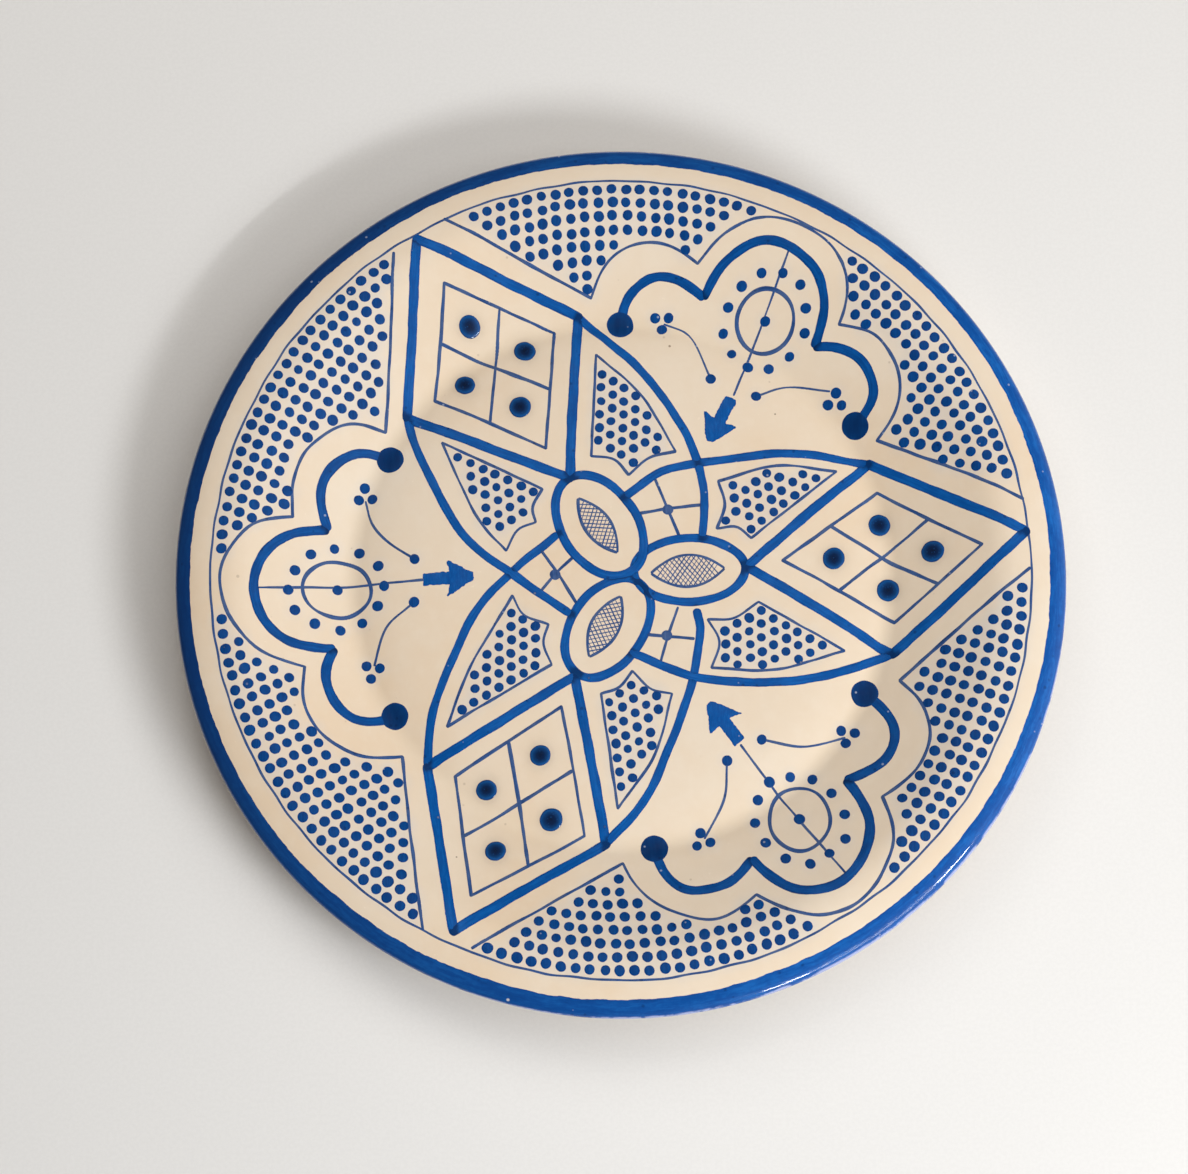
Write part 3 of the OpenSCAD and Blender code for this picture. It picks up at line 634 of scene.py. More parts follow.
def paint_material(name, light, body, dark, black, edge_dark=0.35, streak=0.45, rough=(0.13, 0.27), grey=None, lit=None, coat=0.18):
    """cobalt under the last skin of glaze: streaks run with the brush, it is darker where it is thick"""
    m = Mat(name, IOR=1.5, Specular_IOR_Level=0.32, Coat_Weight=coat, Coat_Roughness=0.03)
    ac, al, sd = m.attr("across"), m.attr("along"), m.attr("seed")
    v = m.vec(m.math("MULTIPLY", ac, 2.6), m.math("MULTIPLY", al, 0.11), m.math("MULTIPLY", sd, 7.3))
    st = m.noise(1.0, 3, 0.6, v)
    v2 = m.vec(m.math("MULTIPLY", ac, 6.5), m.math("MULTIPLY", al, 0.30), m.math("MULTIPLY", sd, 3.1))
    st2 = m.noise(1.0, 2, 0.6, v2)
    thick = m.math("ADD", m.math("MULTIPLY", m.between(st, 0.30, 0.72), streak), m.math("MULTIPLY", m.between(st2, 0.35, 0.7), streak * 0.4))
    thick = m.math("ADD", thick, m.math("MULTIPLY", m.attr("load"), 0.22))
    thick = m.math("ADD", thick, m.math("MULTIPLY", m.between(m.attr("edge"), 0.55, 1.0), edge_dark))
    thick = m.math("ADD", thick, m.math("MULTIPLY", m.attr("pool"), 0.30))
    thick = m.math("ADD", thick, m.math("MULTIPLY", m.between(m.noise(520, 3, 0.6), 0.30, 0.75), 0.18), clamp=True)
    col = m.mix(m.between(thick, 0.05, 0.60), light, body)
    col = m.mix(m.between(thick, 0.55, 1.0), col, dark)
    if grey:
        col = m.mix(m.between(m.noise(170, 3, 0.6), 0.38, 0.66, 0.0, 0.55), col, grey)
    # darker where strokes cross and where thick paint lies deep; on the rim band this same value carries painted shade
    # on its left and top side
    col = m.mix(m.math("MULTIPLY", m.attr("over"), 0.78), col, black)
    # pinholes where the glaze below shows, and dark grains of pigment
    d, c = m.cells(420)
    pick = m.t.nodes.new("ShaderNodeSeparateColor")
    m.put(pick.inputs[0], c)
    col = m.mix(m.math("MULTIPLY", m.math("MULTIPLY", m.between(d, 0.10, 0.20, 1.0, 0.0), m.between(pick.outputs[0], 0.93, 0.95)), 0.55), col, (0.45, 0.50, 0.62))
    col = m.mix(m.math("MULTIPLY", m.math("MULTIPLY", m.between(d, 0.12, 0.30, 1.0, 0.0), m.between(pick.outputs[1], 0.80, 0.85)), 0.50), col, black)
    if lit:
        col = m.mix(m.math("MULTIPLY", m.between(m.noise(60, 2, 0.5), 0.35, 0.7), 0.5), col, lit)
    m.put(m.b.inputs["Base Color"], col)
    m.put(m.b.inputs["Roughness"], m.between(m.noise(260, 3, 0.6), 0.3, 0.75, rough[0], rough[1]))
    h1 = m.bump(m.noise(300, 3, 0.6), 0.16, 0.0002)
    m.put(m.b.inputs["Normal"], m.bump(m.math("MULTIPLY", st, 1.0), 0.22, 0.00015, h1))
    return m.m


GLAZE = glaze_material("cream_tin_glaze")
BACK = glaze_material("cream_tin_glaze_back", bleed_and_bead_shade=False)
M_BOLD = paint_material("cobalt_bold_brush", (0.0040, 0.112, 0.420), (0.0015, 0.075, 0.310), (0.0015, 0.048, 0.205), (0.0012, 0.018, 0.080), streak=0.36)
M_THIN = paint_material("cobalt_fine_line", (0.060, 0.130, 0.330), (0.026, 0.074, 0.230), (0.012, 0.044, 0.150), (0.006, 0.024, 0.095), edge_dark=0.10, streak=0.5, grey=(0.085, 0.130, 0.250))
M_DOT = paint_material("cobalt_dot", (0.0030, 0.066, 0.270), (0.0018, 0.044, 0.195), (0.0012, 0.028, 0.125), (0.0010, 0.013, 0.060), edge_dark=0.12, streak=0.30)
M_ARCH = paint_material("cobalt_arch_brush", (0.0030, 0.090, 0.345), (0.0012, 0.058, 0.245), (0.0011, 0.037, 0.160), (0.0010, 0.014, 0.062), streak=0.36)
M_BAND = paint_material("cobalt_rim_band", (0.0090, 0.135, 0.490), (0.0035, 0.080, 0.350), (0.0022, 0.046, 0.215), (0.0015, 0.024, 0.110), edge_dark=0.22, streak=0.36, rough=(0.08, 0.16), coat=0.9)


def thick_material():
    """a bead of cobalt-heavy glaze: nearly black where it is deep, blue where it thins to its edge"""
    m = Mat("cobalt_thick_bead", IOR=1.52, Coat_Weight=0.5, Coat_Roughness=0.03)
    e = m.attr("edge")
    warp = m.math("ADD", e, m.math("MULTIPLY", m.math("SUBTRACT", m.noise(330, 4, 0.6), 0.5), 0.35))
    col = m.ramp(warp, [(0.0, (0.002, 0.010, 0.040)), (0.38, (0.002, 0.016, 0.065)), (0.66, (0.003, 0.040, 0.150)), (0.86, (0.005, 0.075, 0.27)), (1.0, (0.004, 0.040, 0.16))])
    d, c = m.cells(900)
    col = m.mix(m.between(d, 0.05, 0.30, 0.5, 0.0), col, (0.010, 0.085, 0.28))
    m.put(m.b.inputs["Base Color"], col)
    m.put(m.b.inputs["Roughness"], m.between(m.noise(500, 3, 0.6), 0.3, 0.75, 0.05, 0.14))
    m.put(m.b.inputs["Normal"], m.bump(m.noise(700, 3, 0.6), 0.25, 0.0002, m.bump(m.between(d, 0.0, 0.35), 0.2, 0.0001)))
    return m.m


def clay_material():
    m = Mat("bare_terracotta", IOR=1.45)
    col = m.mix(m.between(m.noise(45, 4, 0.6), 0.3, 0.7), (0.42, 0.19, 0.095), (0.52, 0.27, 0.15))
    col = m.mix(m.between(m.noise(700, 4, 0.65), 0.45, 0.75, 0.0, 0.6), col, (0.60, 0.36, 0.22))
    # drag marks of the turning tool, level round the ring
    sep = m.t.nodes.new("ShaderNodeSeparateXYZ")
    m.put(sep.inputs[0], m.coord())
    rad = m.math("SQRT", m.math("ADD", m.math("MULTIPLY", sep.outputs[0], sep.outputs[0]), m.math("MULTIPLY", sep.outputs[1], sep.outputs[1])))
    rings = m.noise(1.0, 3, 0.7, m.vec(m.math("MULTIPLY", rad, 2600.0), m.math("MULTIPLY", sep.outputs[2], 2600.0), 0.0))
    col = m.mix(m.between(rings, 0.45, 0.75, 0.0, 0.45), col, (0.30, 0.13, 0.065))
    d, c = m.cells(950)
    pick = m.t.nodes.new("ShaderNodeSeparateColor")
    m.put(pick.inputs[0], c)
    grog = m.math("MULTIPLY", m.between(d, 0.15, 0.35, 1.0, 0.0), m.between(pick.outputs[0], 0.78, 0.84))
    col = m.mix(m.math("MULTIPLY", grog, 0.6), col, (0.66, 0.50, 0.36))
    dirt = m.between(m.noise(120, 5, 0.7), 0.52, 0.80, 0.0, 0.55)
    col = m.mix(dirt, col, (0.20, 0.13, 0.09))
    m.put(m.b.inputs["Base Color"], col)
    m.put(m.b.inputs["Roughness"], m.between(m.noise(300, 3, 0.6), 0.3, 0.8, 0.72, 0.92))
    h = m.bump(rings, 0.5, 0.0003, m.bump(m.noise(1400, 4, 0.7), 0.4, 0.00025))
    m.put(m.b.inputs["Normal"], m.bump(grog, 0.3, 0.0002, h))
    return m.m


M_THICK = thick_material()
M_CLAY = clay_material()

# ------------------------------------------------------------------ glaze on the front
big_dots = node_islands("diamond_dots")
fields = ["ground_dots_top", "ground_dots_upper_right", "ground_dots_right", "ground_dots_bottom", "ground_dots_lower_left", "ground_dots_upper_left"]
field_dots = {f: node_islands(f) for f in fields}
panel_dots = node_islands("panel_dots")
wheel_dots = node_islands("arch_circle_dots")
sprig_dots = node_islands("sprig_dots")
crowd = np.array([(x, y) for f in fields for x, y, r in field_dots[f]] + [(x, y) for x, y, r in panel_dots])
single = np.array([(x, y) for x, y, r in wheel_dots + sprig_dots])
heavy = np.array([(x, y) for x, y, r in big_dots])


def nearest(pts, to):
    best = np.full(len(pts), 1e9)
    for x, y in to:
        best = np.minimum(best, (pts[:, 0] - x) ** 2 + (pts[:, 1] - y) ** 2)
    return np.sqrt(best)


def front_glaze():
    n = 560
    rr = np.r_[np.linspace(1.6, 76, 46), np.linspace(77, 88, 14), np.linspace(89.6, 118.5, 24), CREST + (LIP - CREST) * np.sin(np.linspace(0.0, PI / 2, 27))]
    t = np.arange(n) * TAU / n
    X, Y = rr[:, None] * np.cos(t), rr[:, None] * np.sin(t)
    Z = height(X, Y)
    top = np.stack([X, Y, Z], -1).reshape(-1, 3)
    ri = np.r_[134.0, 131.0, 126.5, 120.5, 112, 104, 96, 88, 82, 74, 60, 40, 20, 1.6]
    Xi, Yi = ri[:, None] * np.cos(t), ri[:, None] * np.sin(t)
    inner = np.stack([Xi, Yi, height(Xi, Yi) - 0.45], -1)
    inner[0, :, 2] = Z_LIP + 0.05
    inner = inner.reshape(-1, 3)
    m = len(rr) + len(ri)
    V = np.vstack([top, inner, [[0, 0, float(height(0, 0))], [0, 0, float(height(0, 0)) - 0.45]]])
    F = grid_faces(m, n, flip=True)
    a = m * n
    for j in range(n):
        k = (j + 1) % n
        F.append((j, k, a))
        F.append(((m - 1) * n + k, (m - 1) * n + j, a + 1))
    P = V[:, :2]
    R = np.hypot(P[:, 0], P[:, 1])
    pool = np.exp(-((R - 82.0) / 3.2) ** 2) * (0.8 + 0.2 * soft(P[:, 0], P[:, 1])) + 0.25 * np.exp(-((R - 122) / 5.0) ** 2)
    dc = nearest(P, crowd)
    bleed = np.clip(1.25 - dc / 4.2, 0, 1) ** 1.1 * 0.55
    bleed = np.maximum(bleed, np.clip(1.3 - nearest(P, single) / 3.0, 0, 1) * 0.30)
    # painted shade round the raised beads, strongest close to them and fading over a few millimetres
    dh = nearest(P, heavy)
    halo = np.exp(-(np.clip(dh - 3.2, 0, None) / 1.1) ** 2) * 0.30 + np.exp(-(np.clip(dh - 3.2, 0, None) / 3.2) ** 2) * 0.13
    s = Soup()
    s.add(V, F, pool=np.clip(pool, 0, 1), bleed=bleed, halo=halo)
    s.make("front_tin_glaze", GLAZE, "front_glaze", 60)


# ------------------------------------------------------------------ glaze on the outside, in the recess, and the body
def under_profile():
    """CAD points of the underside from the lip to the foot, joined by a smooth curve"""
    b = np.radians(np.arange(0, 91, 15))
    p = [(127.3 + 7.5 * math.cos(a), Z_LIP - 3.4 * math.sin(a)) for a in b]
    p += [(u, float(ztop(u)) - 6.18) for u in (116, 104, 92, 85)]
    p += [(81.4, 3.0), (80.3, 1.4)]
    return spline(p, 8)


def recess_profile():
    p = [(73.2, 1.4), (71.8, 3.2)] + [(u, float(ztop(u)) - 6.0) for u in (70, 60, 46, 30, 14, 1.2)]
    return spline(p, 9)


def outward(p, d):
    n = normals2(p)
    return p + n * d


def back_glaze():
    n = 420
    p, _, L = evenly(under_profile(), 1.15)
    inner = outward(p, -0.4)
    inner[0] = (134.2, Z_LIP - 0.02)
    p[0] = (LIP - 0.02, Z_LIP - 0.03)
    prof = np.vstack([p, inner[::-2][:]])
    k = len(p)
    t = np.arange(n) * TAU / n
    R = prof[:, 0][:, None] + np.zeros(n)
    Z = prof[:, 1][:, None] + np.zeros(n)
    dist = np.r_[np.linspace(0, L, k), np.linspace(L, 0, len(prof) - k)]
    rs = np.random.default_rng(31)
    wav = wave1(t * 80, (9, 22, 60), rs, TAU * 80)
    # throwing rings on the outside of the wall, and a wiped lower edge that wanders
    ring = 0.07 * np.sin(dist[:, None] / 5.2 * TAU + 0.8 * np.sin(t + 0.4)) * np.clip((dist[:, None] - 9) / 8, 0, 1) * np.clip((L - dist[:, None]) / 8, 0, 1)
    Z = Z - ring * 0.9
    low = np.clip(1 - (L - dist) / 5.0, 0, 1)[:, None] ** 1.5
    lift = low * np.clip(0.25 + 0.28 * wav, -0.15, 1.0)
    Z = Z + 0.82 * lift
    R = R + 0.57 * lift
    V = np.stack([R * np.cos(t), R * np.sin(t), Z], -1).reshape(-1, 3)
    m = len(prof)
    F = grid_faces(m, n, flip=True)
    F += [((m - 1) * n + j, j, (j + 1) % n, (m - 1) * n + (j + 1) % n) for j in range(n)]
    pool = np.repeat(np.clip(1 - (L - dist) / 4, 0, 1), n)
    s = Soup()
    s.add(V, F, pool=pool)
    s.make("back_tin_glaze", BACK, "back_glaze", 60)


def recess_glaze():
    n = 360
    p, _, L = evenly(recess_profile(), 1.0)
    inner = outward(p, -0.42)
    t = np.arange(n) * TAU / n
    rs = np.random.default_rng(32)
    wav = wave1(t * 72, (8, 20, 55), rs, TAU * 72)
    prof = np.vstack([p, inner[::-1]])
    k = len(p)
    dist = np.r_[np.linspace(0, L, k), np.linspace(L, 0, k)]
    R = prof[:, 0][:, None] + np.zeros(n)
    Z = prof[:, 1][:, None] + np.zeros(n)
    spiral = 0.10 * np.sin(TAU * (R / 7.0) + t) * np.clip(dist[:, None] / 14, 0, 1) * np.clip(R / 6, 0, 1)
    Z = Z + spiral
    low = np.clip(1 - dist / 3.5, 0, 1)[:, None]
    lift = low * np.clip(0.2 + 0.25 * wav, -0.1, 0.9)
    R = R - 0.61 * lift
    Z = Z + 0.79 * lift
    V = np.stack([R * np.cos(t), R * np.sin(t), Z], -1).reshape(-1, 3)
    m = len(prof)
    F = grid_faces(m, n, flip=True)
    F += [((m - 1) * n + j, j, (j + 1) % n, (m - 1) * n + (j + 1) % n) for j in range(n)]
    # the innermost rows close on small caps
    a = len(V)
    V = np.vstack([V, [[0, 0, prof[k - 1][1]], [0, 0, prof[k][1]]]])
    F = [f for f in F if not (set(f) <= set(range((k - 1) * n, (k + 1) * n)))]
    for j in range(n):
        q = (j + 1) % n
        F.append(((k - 1) * n + j, (k - 1) * n + q, a))
        F.append((k * n + q, k * n + j, a + 1))
    pool = np.r_[np.repeat(np.clip(1 - dist / 4, 0, 1), n), 0, 0]
    s = Soup()
    s.add(V, F, pool=pool)
    s.make("recess_tin_glaze", BACK, "foot_recess_glaze", 60)


def clay():
    n = 480
    top = np.array([(r, float(ztop(r)) - 0.35) for r in (1.2, 20, 40, 55, 64, 70, 75, 79.5, 82, 85, 92, 104, 112, 118, 120.5, 126, 130, 133)])
    und = outward(evenly(under_profile(), 1.2)[0], -0.32)[2:-2]
    foot = np.array([(80.35, 2.1), (80.2, 1.5), (80.0, 0.95), (79.75, 0.5), (79.4, 0.2), (78.9, 0.05), (78.2, 0.0), (76.8, 0.06), (75.2, 0.0), (74.6, 0.06), (74.1, 0.25), (73.8, 0.6), (73.5, 1.1), (73.25, 1.7), (72.9, 2.3)])
    rec = outward(evenly(recess_profile(), 1.0)[0], -0.32)[2:]
    prof = np.vstack([top, [(134.1, Z_LIP)], und, foot, rec])
    t = np.arange(n) * TAU / n
    R = prof[:, 0][:, None] + np.zeros(n)
    Z = prof[:, 1][:, None] + np.zeros(n)
    f0, f1 = len(top) + 1 + len(und), len(top) + 1 + len(und) + len(foot)
    rs = np.random.default_rng(33)
    chip = np.clip(wave1(t * 79, (5, 11), rs, TAU * 79) - 1.35, 0, 1)
    rub = wave1(t * 79, (18, 60), rs, TAU * 79)
    for i in range(f0, f1):
        w = max(0.0, 1 - prof[i, 1] / 1.6)
        Z[i] = Z[i] + w * (0.35 * chip + 0.02 * (1 + rub) * 0.5)
        R[i] = R[i] + 0.04 * rub * (1 - w)
    Z = np.maximum(Z, 0.0)
    V = np.stack([R * np.cos(t), R * np.sin(t), Z], -1).reshape(-1, 3)
    m = len(prof)
    F = grid_faces(m, n, flip=True)
    a = len(V)
    V = np.vstack([V, [[0, 0, prof[0][1]], [0, 0, prof[-1][1]]]])
    for j in range(n):
        q = (j + 1) % n
        F.append((j, q, a))
        F.append(((m - 1) * n + q, (m - 1) * n + j, a + 1))
    s = Soup()
    s.add(V, F)
    s.make("clay_biscuit", M_CLAY, "clay_body", 50)


# ------------------------------------------------------------------ the band round the lip
def rim_band():
    n = 900
    rs = np.random.default_rng(34)
    t = np.arange(n) * TAU / n
    cols = 15
    # the section runs by angle: on top of the roll first, then round the edge of the lip and under it
    a_in = np.degrees(np.arcsin((130.1 - CREST) / (LIP - CREST)))
    start = a_in - 1.8 - 4.6 * np.clip(np.cos(t + 0.95), 0, 1) - 2.6 * np.clip(np.cos(t - 1.75), 0, 1) + 0.8 * wave1(t * 130, (14, 40, 120), rs, TAU * 130) + 0.35 * wave1(t * 130, (2.2, 4.5), rs, TAU * 130)
    stop = 112 + 3.0 * wave1(t * 130, (9, 30), rs, TAU * 130) + 1.0 * wave1(t * 130, (2.5, 5), rs, TAU * 130)
    w = np.linspace(0, 1, cols) ** 0.9
    A = start[None, :] + (stop - start)[None, :] * w[:, None]
    lift = -0.03 + 0.11 * np.sqrt(np.clip(1 - (2 * w - 1) ** 6, 0, 1))
    ar = np.radians(A)
    up = A <= 90
    b = np.radians(A - 90)
    r = np.where(up, CREST + 14.3 * np.sin(ar), 127.3 + 7.5 * np.cos(b))
    nr = np.where(up, np.sin(ar) / 14.3, np.cos(b) / 7.5)
    nz = np.where(up, np.cos(ar) / 3.8, -np.sin(b) / 3.4)
    ln = np.hypot(nr, nz)
    nr, nz = nr / ln, nz / ln
    und = uneven(np.minimum(r, 134.8) * np.cos(t), np.minimum(r, 134.8) * np.sin(t))
    zc = np.where(up, Z_LIP + 3.8 * np.cos(ar), Z_LIP - 3.4 * np.sin(b)) + np.where(up, und * np.clip((90 - A) / 30, 0, 1), 0)
    R, Z = r + nr * lift[:, None], zc + nz * lift[:, None]
    R = np.minimum(R, 134.97)
    Ri, Zi = r - nr * 0.22, zc - nz * 0.22
    rows = np.concatenate([np.stack([R * np.cos(t), R * np.sin(t), Z], -1), np.stack([Ri * np.cos(t), Ri * np.sin(t), Zi], -1)[::-1]], 0)
    V = rows.reshape(-1, 3)
    m = 2 * cols
    F = grid_faces(m, n, flip=True)
    F += [((m - 1) * n + j, j, (j + 1) % n, (m - 1) * n + (j + 1) % n) for j in range(n)]
    ww = np.r_[w, w[::-1]]
    acr = np.repeat(2 * ww - 1, n)
    alo = np.tile(t * 130, m)
    AA = np.concatenate([A, A[::-1]], 0).ravel()
    # on the lower right the pale lavender edge reaches further up the lip
    pale_edge_from = 99 - 31 * np.tile(np.clip(np.cos(t + 0.95), 0, 1) ** 0.6, m)
    thin = np.clip((AA - pale_edge_from) / 14, 0, 1)
    load = np.tile(0.5 + 0.5 * np.tanh(wave1(t * 130, (25, 70, 160), rs, TAU * 130)), m)
    s = Soup()
    # the over value given to the band is painted shade: it darkens the band most on the left, less at the top and
    # bottom, and not on the right, the side turned to the window
    s.add(V, F, across=acr * 2.2, along=np.minimum(alo, TAU * 130 - alo) * 1.0, edge=np.clip(np.abs(acr), 0, 1) ** 3, seed=4.2, over=np.tile(np.clip(0.45 - 0.60 * np.cos(t + 0.25), 0, 1), m), pool=0.0, load=load, thin=thin)
    s.make("rim_cobalt_band", M_BAND_LIP, "rim_band", 60)


def band_material():
    """the band wears through at the edge of the lip, where the glaze below shows as a pale lavender line"""
    mat = M_BAND
    t = mat.node_tree
    b = next(x for x in t.nodes if x.type == "BSDF_PRINCIPLED")
    src = b.inputs["Base Color"].links[0].from_socket
    m = Mat.__new__(Mat)
    m.m, m.t, m.b = mat, t, b
    nz = m.noise(140, 4, 0.65)
    worn = m.math("MULTIPLY", m.attr("thin"), m.between(nz, 0.30, 0.62), clamp=True)
    col = m.mix(m.between(worn, 0.10, 0.55, 0.0, 0.85), src, (0.42, 0.47, 0.74))
    d, c = m.cells(330)
    pick = t.nodes.new("ShaderNodeSeparateColor")
    m.put(pick.inputs[0], c)
    nick = m.math("MULTIPLY", m.between(d, 0.10, 0.22, 1.0, 0.0), m.between(pick.outputs[0], 0.965, 0.975))
    col = m.mix(m.math("MULTIPLY", nick, 0.85), col, (0.70, 0.66, 0.62))
    m.put(b.inputs["Base Color"], col)
    return mat


M_BAND_LIP = band_material()

# ------------------------------------------------------------------ make every piece
front_glaze()
back_glaze()
recess_glaze()
clay()
rim_band()


def strokes(name, node, mat, build):
    s = Soup()
    build(s)
    return s.make(name, mat, node)


def b_border(s):
    stroke(s, ellipse((0, 0), 123.9, 123.9, 0, 360), 0.85, 100, closed=True, crown=0.03, step=1.2, cols=5, wob=0.16, vary=0.12)


def b_petals(s):
    for i, p in enumerate(PETALS):
        stroke(s, spline(p), BOLD * 0.92, 200 + i, wob=0.08, vary=0.05)


def b_frames(s):
    for i, d in enumerate(DIAMONDS):
        for j in range(4):
            stroke(s, [d[j], d[(j + 1) % 4]], BOLD * 1.05, 300 + i * 10 + j, run=BOLD * 0.45, bow=0.35, vary=0.05)


def b_grids(s):
    for i, d in enumerate(GRIDS):
        for j in range(4):
            stroke(s, [d[j], d[(j + 1) % 4]], FINE, 400 + i * 10 + j, run=0.4, crown=0.03, step=1.2, cols=5, vary=0.12, bow=0.3, lo=0.01)
        stroke(s, [mid(d[0], d[1]), mid(d[2], d[3])], FINE, 406 + i * 10, crown=0.03, step=1.2, cols=5, vary=0.14, bow=0.3, lo=0.015)
        stroke(s, [mid(d[1], d[2]), mid(d[3], d[0])], FINE * 1.1, 407 + i * 10, crown=0.03, step=1.2, cols=5, vary=0.14, bow=0.3, lo=0.02)


def b_ovals(s):
    for i, o in enumerate(OVALS):
        stroke(s, ellipse(*o), BOLD * 0.95, 500 + i, closed=True, wob=0.10, vary=0.06)


def lens_arc(l, side, k=1.0, n=22):
    a, c = math.radians(l[3]), l[0]
    t = np.linspace(-1, 1, n)
    w = side * l[2] * k * (1 - t * t)
    x = l[1] * t
    return np.c_[c[0] + x * math.cos(a) - w * math.sin(a), c[1] + x * math.sin(a) + w * math.cos(a)]


def b_lenses(s):
    for i, l in enumerate(LENSES):
        for k, side in enumerate((1, -1)):
            stroke(s, lens_arc(l, side), FINE * 0.95, 600 + i * 40 + k, crown=0.03, step=0.9, cols=5, vary=0.10, wob=0.05)
        a = math.radians(l[3])
        ax, nx = np.array([math.cos(a), math.sin(a)]), np.array([-math.sin(a), math.cos(a)])
        m = 0
        for d in (-1, 1):
            for q in np.arange(-8.4, 8.5, 1.5):
                dirv = ax * math.cos(math.radians(52)) + d * nx * math.sin(math.radians(52))
                tt = np.linspace(-9, 9, 73)
                pts = np.array(l[0]) + ax * q + dirv * tt[:, None]
                x, w = (pts - np.array(l[0])) @ ax, (pts - np.array(l[0])) @ nx
                ok = (np.abs(x) < l[1]) & (np.abs(w) < l[2] * (1 - (x / l[1]) ** 2) - 0.15)
                pts = pts[ok]
                if len(pts) > 5:
                    stroke(s, pts[[0, -1]], 0.36, 604 + i * 40 + m, crown=0.02, step=0.8, cols=3, vary=0.15, wob=0.04, lo=0.012)
                m += 1


def b_windows(s):
    for i, w in enumerate(WINDOWS):
        stroke(s, [w[1], w[2]], FINE, 800 + i * 5, crown=0.03, step=1.0, cols=5, vary=0.14, bow=0.4)
        stroke(s, [w[3], w[4]], FINE, 801 + i * 5, crown=0.03, step=1.0, cols=5, vary=0.14, bow=0.4, lo=0.01)
        blob(s, w[0][0], w[0][1], DOT * 1.05, 803 + i * 5, crown=0.12)


def b_panels(s):
    for i, p in enumerate(PANELS):
        for j, c in enumerate(p):
            stroke(s, spline(c), FINE * 0.92, 900 + i * 10 + j, run=0.25, crown=0.03, step=1.1, cols=5, vary=0.15, wob=0.06)


def b_arches(s):
    for i, a in enumerate(ARCHES):
        for j, c in enumerate(a):
            stroke(s, rounded(c), BOLD, 1000 + i * 10 + j, run=0.4, wob=0.08, vary=0.06)
        for j, p in enumerate((a[0][0], a[2][3])):
            blob(s, p[0], p[1], BALL, 1006 + i * 10 + j, crown=0.20, sides=40, rings=(1.0, 0.97, 0.9, 0.8, 0.66, 0.5, 0.3, 0.14), ragged=0.015, power=0.45, depth=0.95)


def b_scallops(s):
    for i, a in enumerate(SCALLOPS):
        for j, c in enumerate(a):
            stroke(s, rounded(c), FINE, 1100 + i * 10 + j, run=0.3, crown=0.03, step=1.1, cols=5, vary=0.14, wob=0.10)


def b_edges(s):
    for i, e in enumerate(EDGES):
        stroke(s, e, FINE, 1200 + i, run=0.3, crown=0.03, step=1.2, cols=5, vary=0.14, bow=0.5, lo=0.01)


def b_arrows(s):
    for i, (a, b) in enumerate(ARROWS):
        a, b = np.array(a, float), np.array(b, float)
        t = (b - a) / np.hypot(*(b - a))
        n = np.array([-t[1], t[0]])
        h = b - t * 8
        o = [a + n * 2.2, h + n * 2.2, h - t * 0.9 + n * 6.4, b + n * 1.4 - t * 0.3, b - n * 1.0, h - t * 1.2 - n * 6.4, h - n * 2.2, a - n * 2.2]
        patch(s, o, 1300 + i)


def b_circles(s):
    for i, c in enumerate(CIRCLES):
        stroke(s, ellipse(c[0], c[1], c[2], 0), FINE * 1.25, 1400 + i * 4, closed=True, crown=0.04, step=0.9, cols=5, vary=0.16, wob=0.12)
        stroke(s, [c[3], c[4]], FINE * 0.75, 1401 + i * 4, crown=0.03, step=1.2, cols=5, vary=0.14, bow=0.3, lo=0.01)


def b_sprigs(s):
    for i, c in enumerate(SPRIGS):
        stroke(s, spline(c), 0.8, 1500 + i, crown=0.03, step=1.0, cols=5, vary=0.16, wob=0.05)


strokes("border_line_stroke", "border_line", M_THIN, b_border)
strokes("petal_strokes", "petal_lines", M_BOLD, b_petals)
strokes("diamond_frame_strokes", "diamond_frames", M_BOLD, b_frames)
strokes("centre_oval_strokes", "centre_ovals", M_BOLD, b_ovals)
strokes("arch_strokes", "arch_lines", M_ARCH, b_arches)
strokes("diamond_grid_strokes", "diamond_grids", M_THIN, b_grids)
strokes("oval_lens_strokes", "oval_lenses", M_THIN, b_lenses)
strokes("window_cross_strokes", "window_crosses", M_THIN, b_windows)
strokes("panel_outline_strokes", "panel_outlines", M_THIN, b_panels)
strokes("arch_outline_strokes", "arch_outlines", M_THIN, b_scallops)
strokes("ground_edge_strokes", "ground_edges", M_THIN, b_edges)
strokes("arrow_strokes", "arch_arrows", M_BOLD, b_arrows)
strokes("arch_circle_strokes", "arch_circles", M_THIN, b_circles)
strokes("sprig_stem_strokes", "sprig_stems", M_THIN, b_sprigs)


def dots(name, node, places, mat, slot, seed, crown=0.12, size=1.0, **kw):
    s = Soup()
    for i, (x, y, r) in enumerate(places):
        rs = np.random.default_rng(seed * 1000 + i)
        blob(s, x, y, r * size * (1 + 0.045 * rs.standard_normal()), seed * 1000 + i, crown=crown, **kw)
    return s.make(name, mat, node)


for i, f in enumerate(fields):
    dots(f + "_touches", f, field_dots[f], M_DOT, "cobalt_dot", 20 + i)
dots("panel_dot_touches", "panel_dots", panel_dots, M_DOT, "cobalt_dot", 30)
dots("wheel_dot_touches", "arch_circle_dots", wheel_dots, M_DOT, "cobalt_dot", 31)
dots("sprig_dot_touches", "sprig_dots", sprig_dots, M_DOT, "cobalt_dot", 32)
dots("diamond_beads", "diamond_dots", [(x, y, 3.3) for x, y, r in big_dots], M_THICK, "cobalt_thick", 33, crown=0.45, sides=44,
     rings=(1.0, 0.97, 0.92, 0.84, 0.74, 0.6, 0.44, 0.26, 0.12), ragged=0.02, power=0.5)

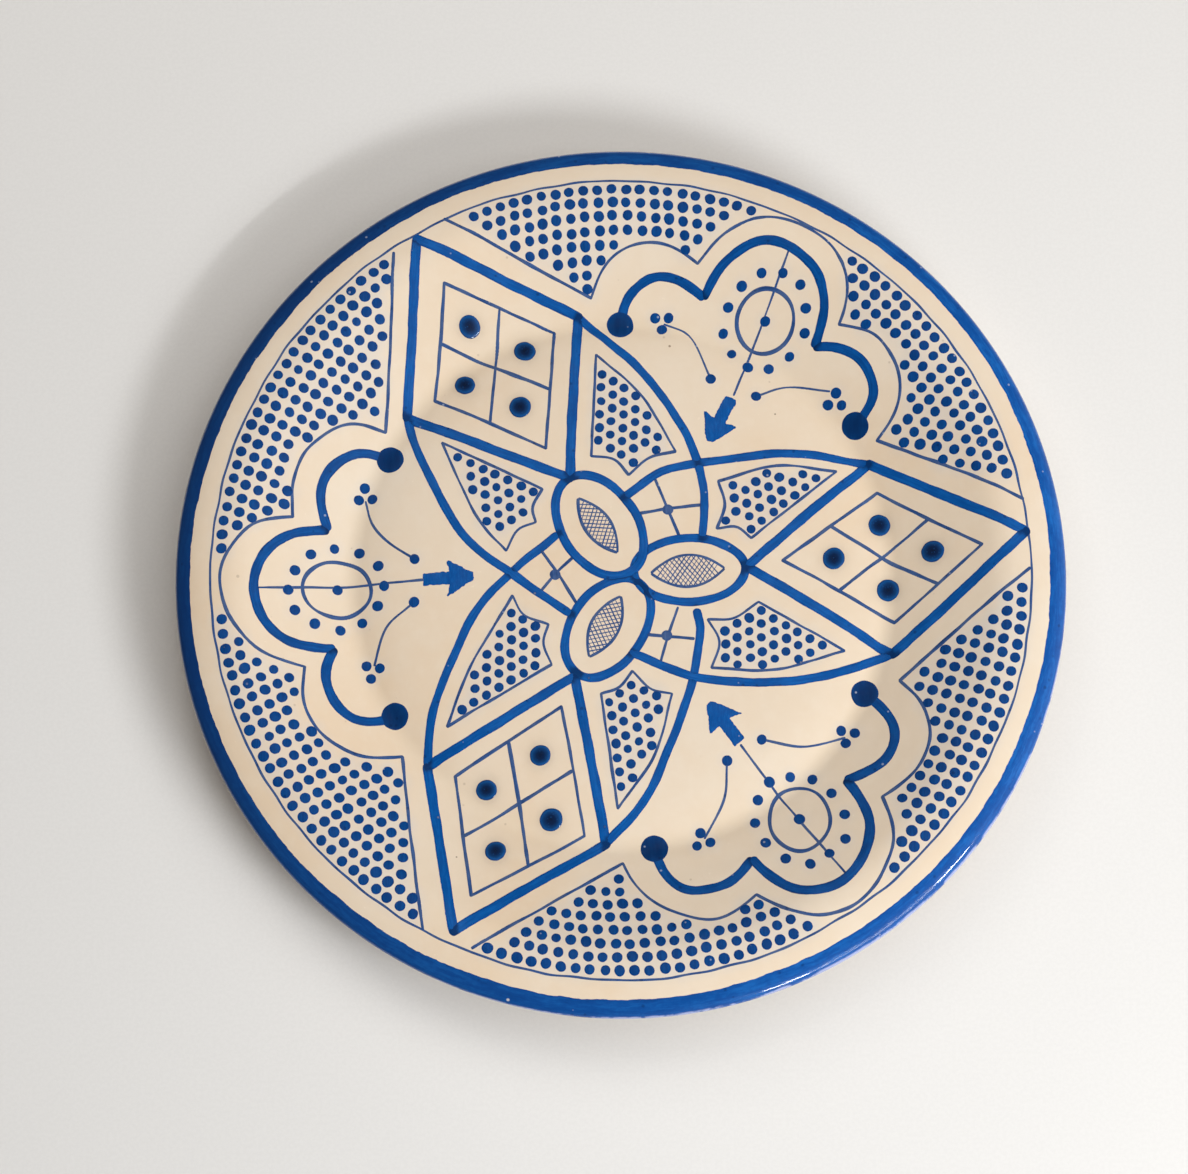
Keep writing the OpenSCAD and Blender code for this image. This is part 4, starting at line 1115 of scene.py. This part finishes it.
# ------------------------------------------------------------------ floor, light, camera
me = bpy.data.meshes.new("studio_floor")
me.from_pydata([(-3, -3, 0), (3, -3, 0), (3, 3, 0), (-3, 3, 0)], [], [(0, 1, 2, 3)])
fm = Mat("pale_paper", Roughness=0.9)
fm.put(fm.b.inputs["Base Color"], fm.mix(fm.between(fm.noise(900, 3, 0.6), 0.35, 0.65), (0.800, 0.792, 0.782), (0.780, 0.772, 0.762)))
fm.put(fm.b.inputs["Normal"], fm.bump(fm.noise(1600, 3, 0.6), 0.10, 0.0001))
me.materials.append(fm.m)
floor = bpy.data.objects.new("studio_floor", me)
scene.collection.objects.link(floor)

TARGET = Vector((-0.00814, -0.00464, 0.0196))


def lamp(name, az, el, dist, size, power, colour=(1, 1, 1), size_y=None):
    d = bpy.data.lights.new(name, "AREA")
    d.shape = "RECTANGLE"
    d.size = size
    d.size_y = size_y or size
    d.energy = power
    d.color = colour
    o = bpy.data.objects.new(name, d)
    a, e = math.radians(az), math.radians(el)
    o.location = Vector((dist * math.cos(e) * math.cos(a), dist * math.cos(e) * math.sin(a), dist * math.sin(e)))
    o.rotation_euler = (-o.location).to_track_quat("-Z", "Y").to_euler()
    scene.collection.objects.link(o)
    return o


# a window low on the lower right, the bright strip of sky in it that draws the line of light along the lip, and
# soft light given back by the ceiling and the far wall
lamp("window_key", -47, 37, 1.10, 0.38, 4.1, (0.97, 0.99, 1.0), 0.29).visible_glossy = False
lamp("window_strip", -47, 37, 1.10, 0.62, 4.0, (0.98, 0.99, 1.0), 0.034)
lamp("ceiling_bounce", 15, 68, 1.08, 1.1, 5.6, (1.0, 0.968, 0.925)).visible_glossy = False
lamp("far_wall", 118, 52, 1.30, 0.8, 4.5, (1.0, 0.958, 0.905)).visible_glossy = False
# a dark room that is brighter low down on the window side
w = bpy.data.worlds.new("studio")
w.use_nodes = True
wn, wl = w.node_tree.nodes, w.node_tree.links
tc, side, rp = wn.new("ShaderNodeTexCoord"), wn.new("ShaderNodeVectorMath"), wn.new("ShaderNodeValToRGB")
side.operation = "DOT_PRODUCT"
side.inputs[1].default_value = (0.84, -0.44, -0.30)
wl.new(tc.outputs["Generated"], side.inputs[0])
wl.new(side.outputs["Value"], rp.inputs[0])
rp.color_ramp.interpolation = "EASE"
rp.color_ramp.elements[0].position, rp.color_ramp.elements[0].color = 0.0, (0.055, 0.0535, 0.0515, 1)
rp.color_ramp.elements[1].position, rp.color_ramp.elements[1].color = 0.85, (0.55, 0.54, 0.525, 1)
wl.new(rp.outputs[0], wn["Background"].inputs[0])
wn["Background"].inputs[1].default_value = 1.0
scene.world = w
scene.view_settings.view_transform = "Standard"
scene.view_settings.look = "None"
scene.view_settings.exposure = 0.0
scene.view_settings.gamma = 1.0

cam = bpy.data.cameras.new("view")
cam.sensor_fit = "HORIZONTAL"
cam.sensor_width = 36.0
cam.lens = 100.15
cam.clip_start = 0.01
co = bpy.data.objects.new("view", cam)
EL = math.radians(76.91)
co.location = TARGET + Vector((0, -math.cos(EL), math.sin(EL)))
co.rotation_euler = (TARGET - co.location).to_track_quat("-Z", "Y").to_euler()
scene.collection.objects.link(co)
scene.camera = co
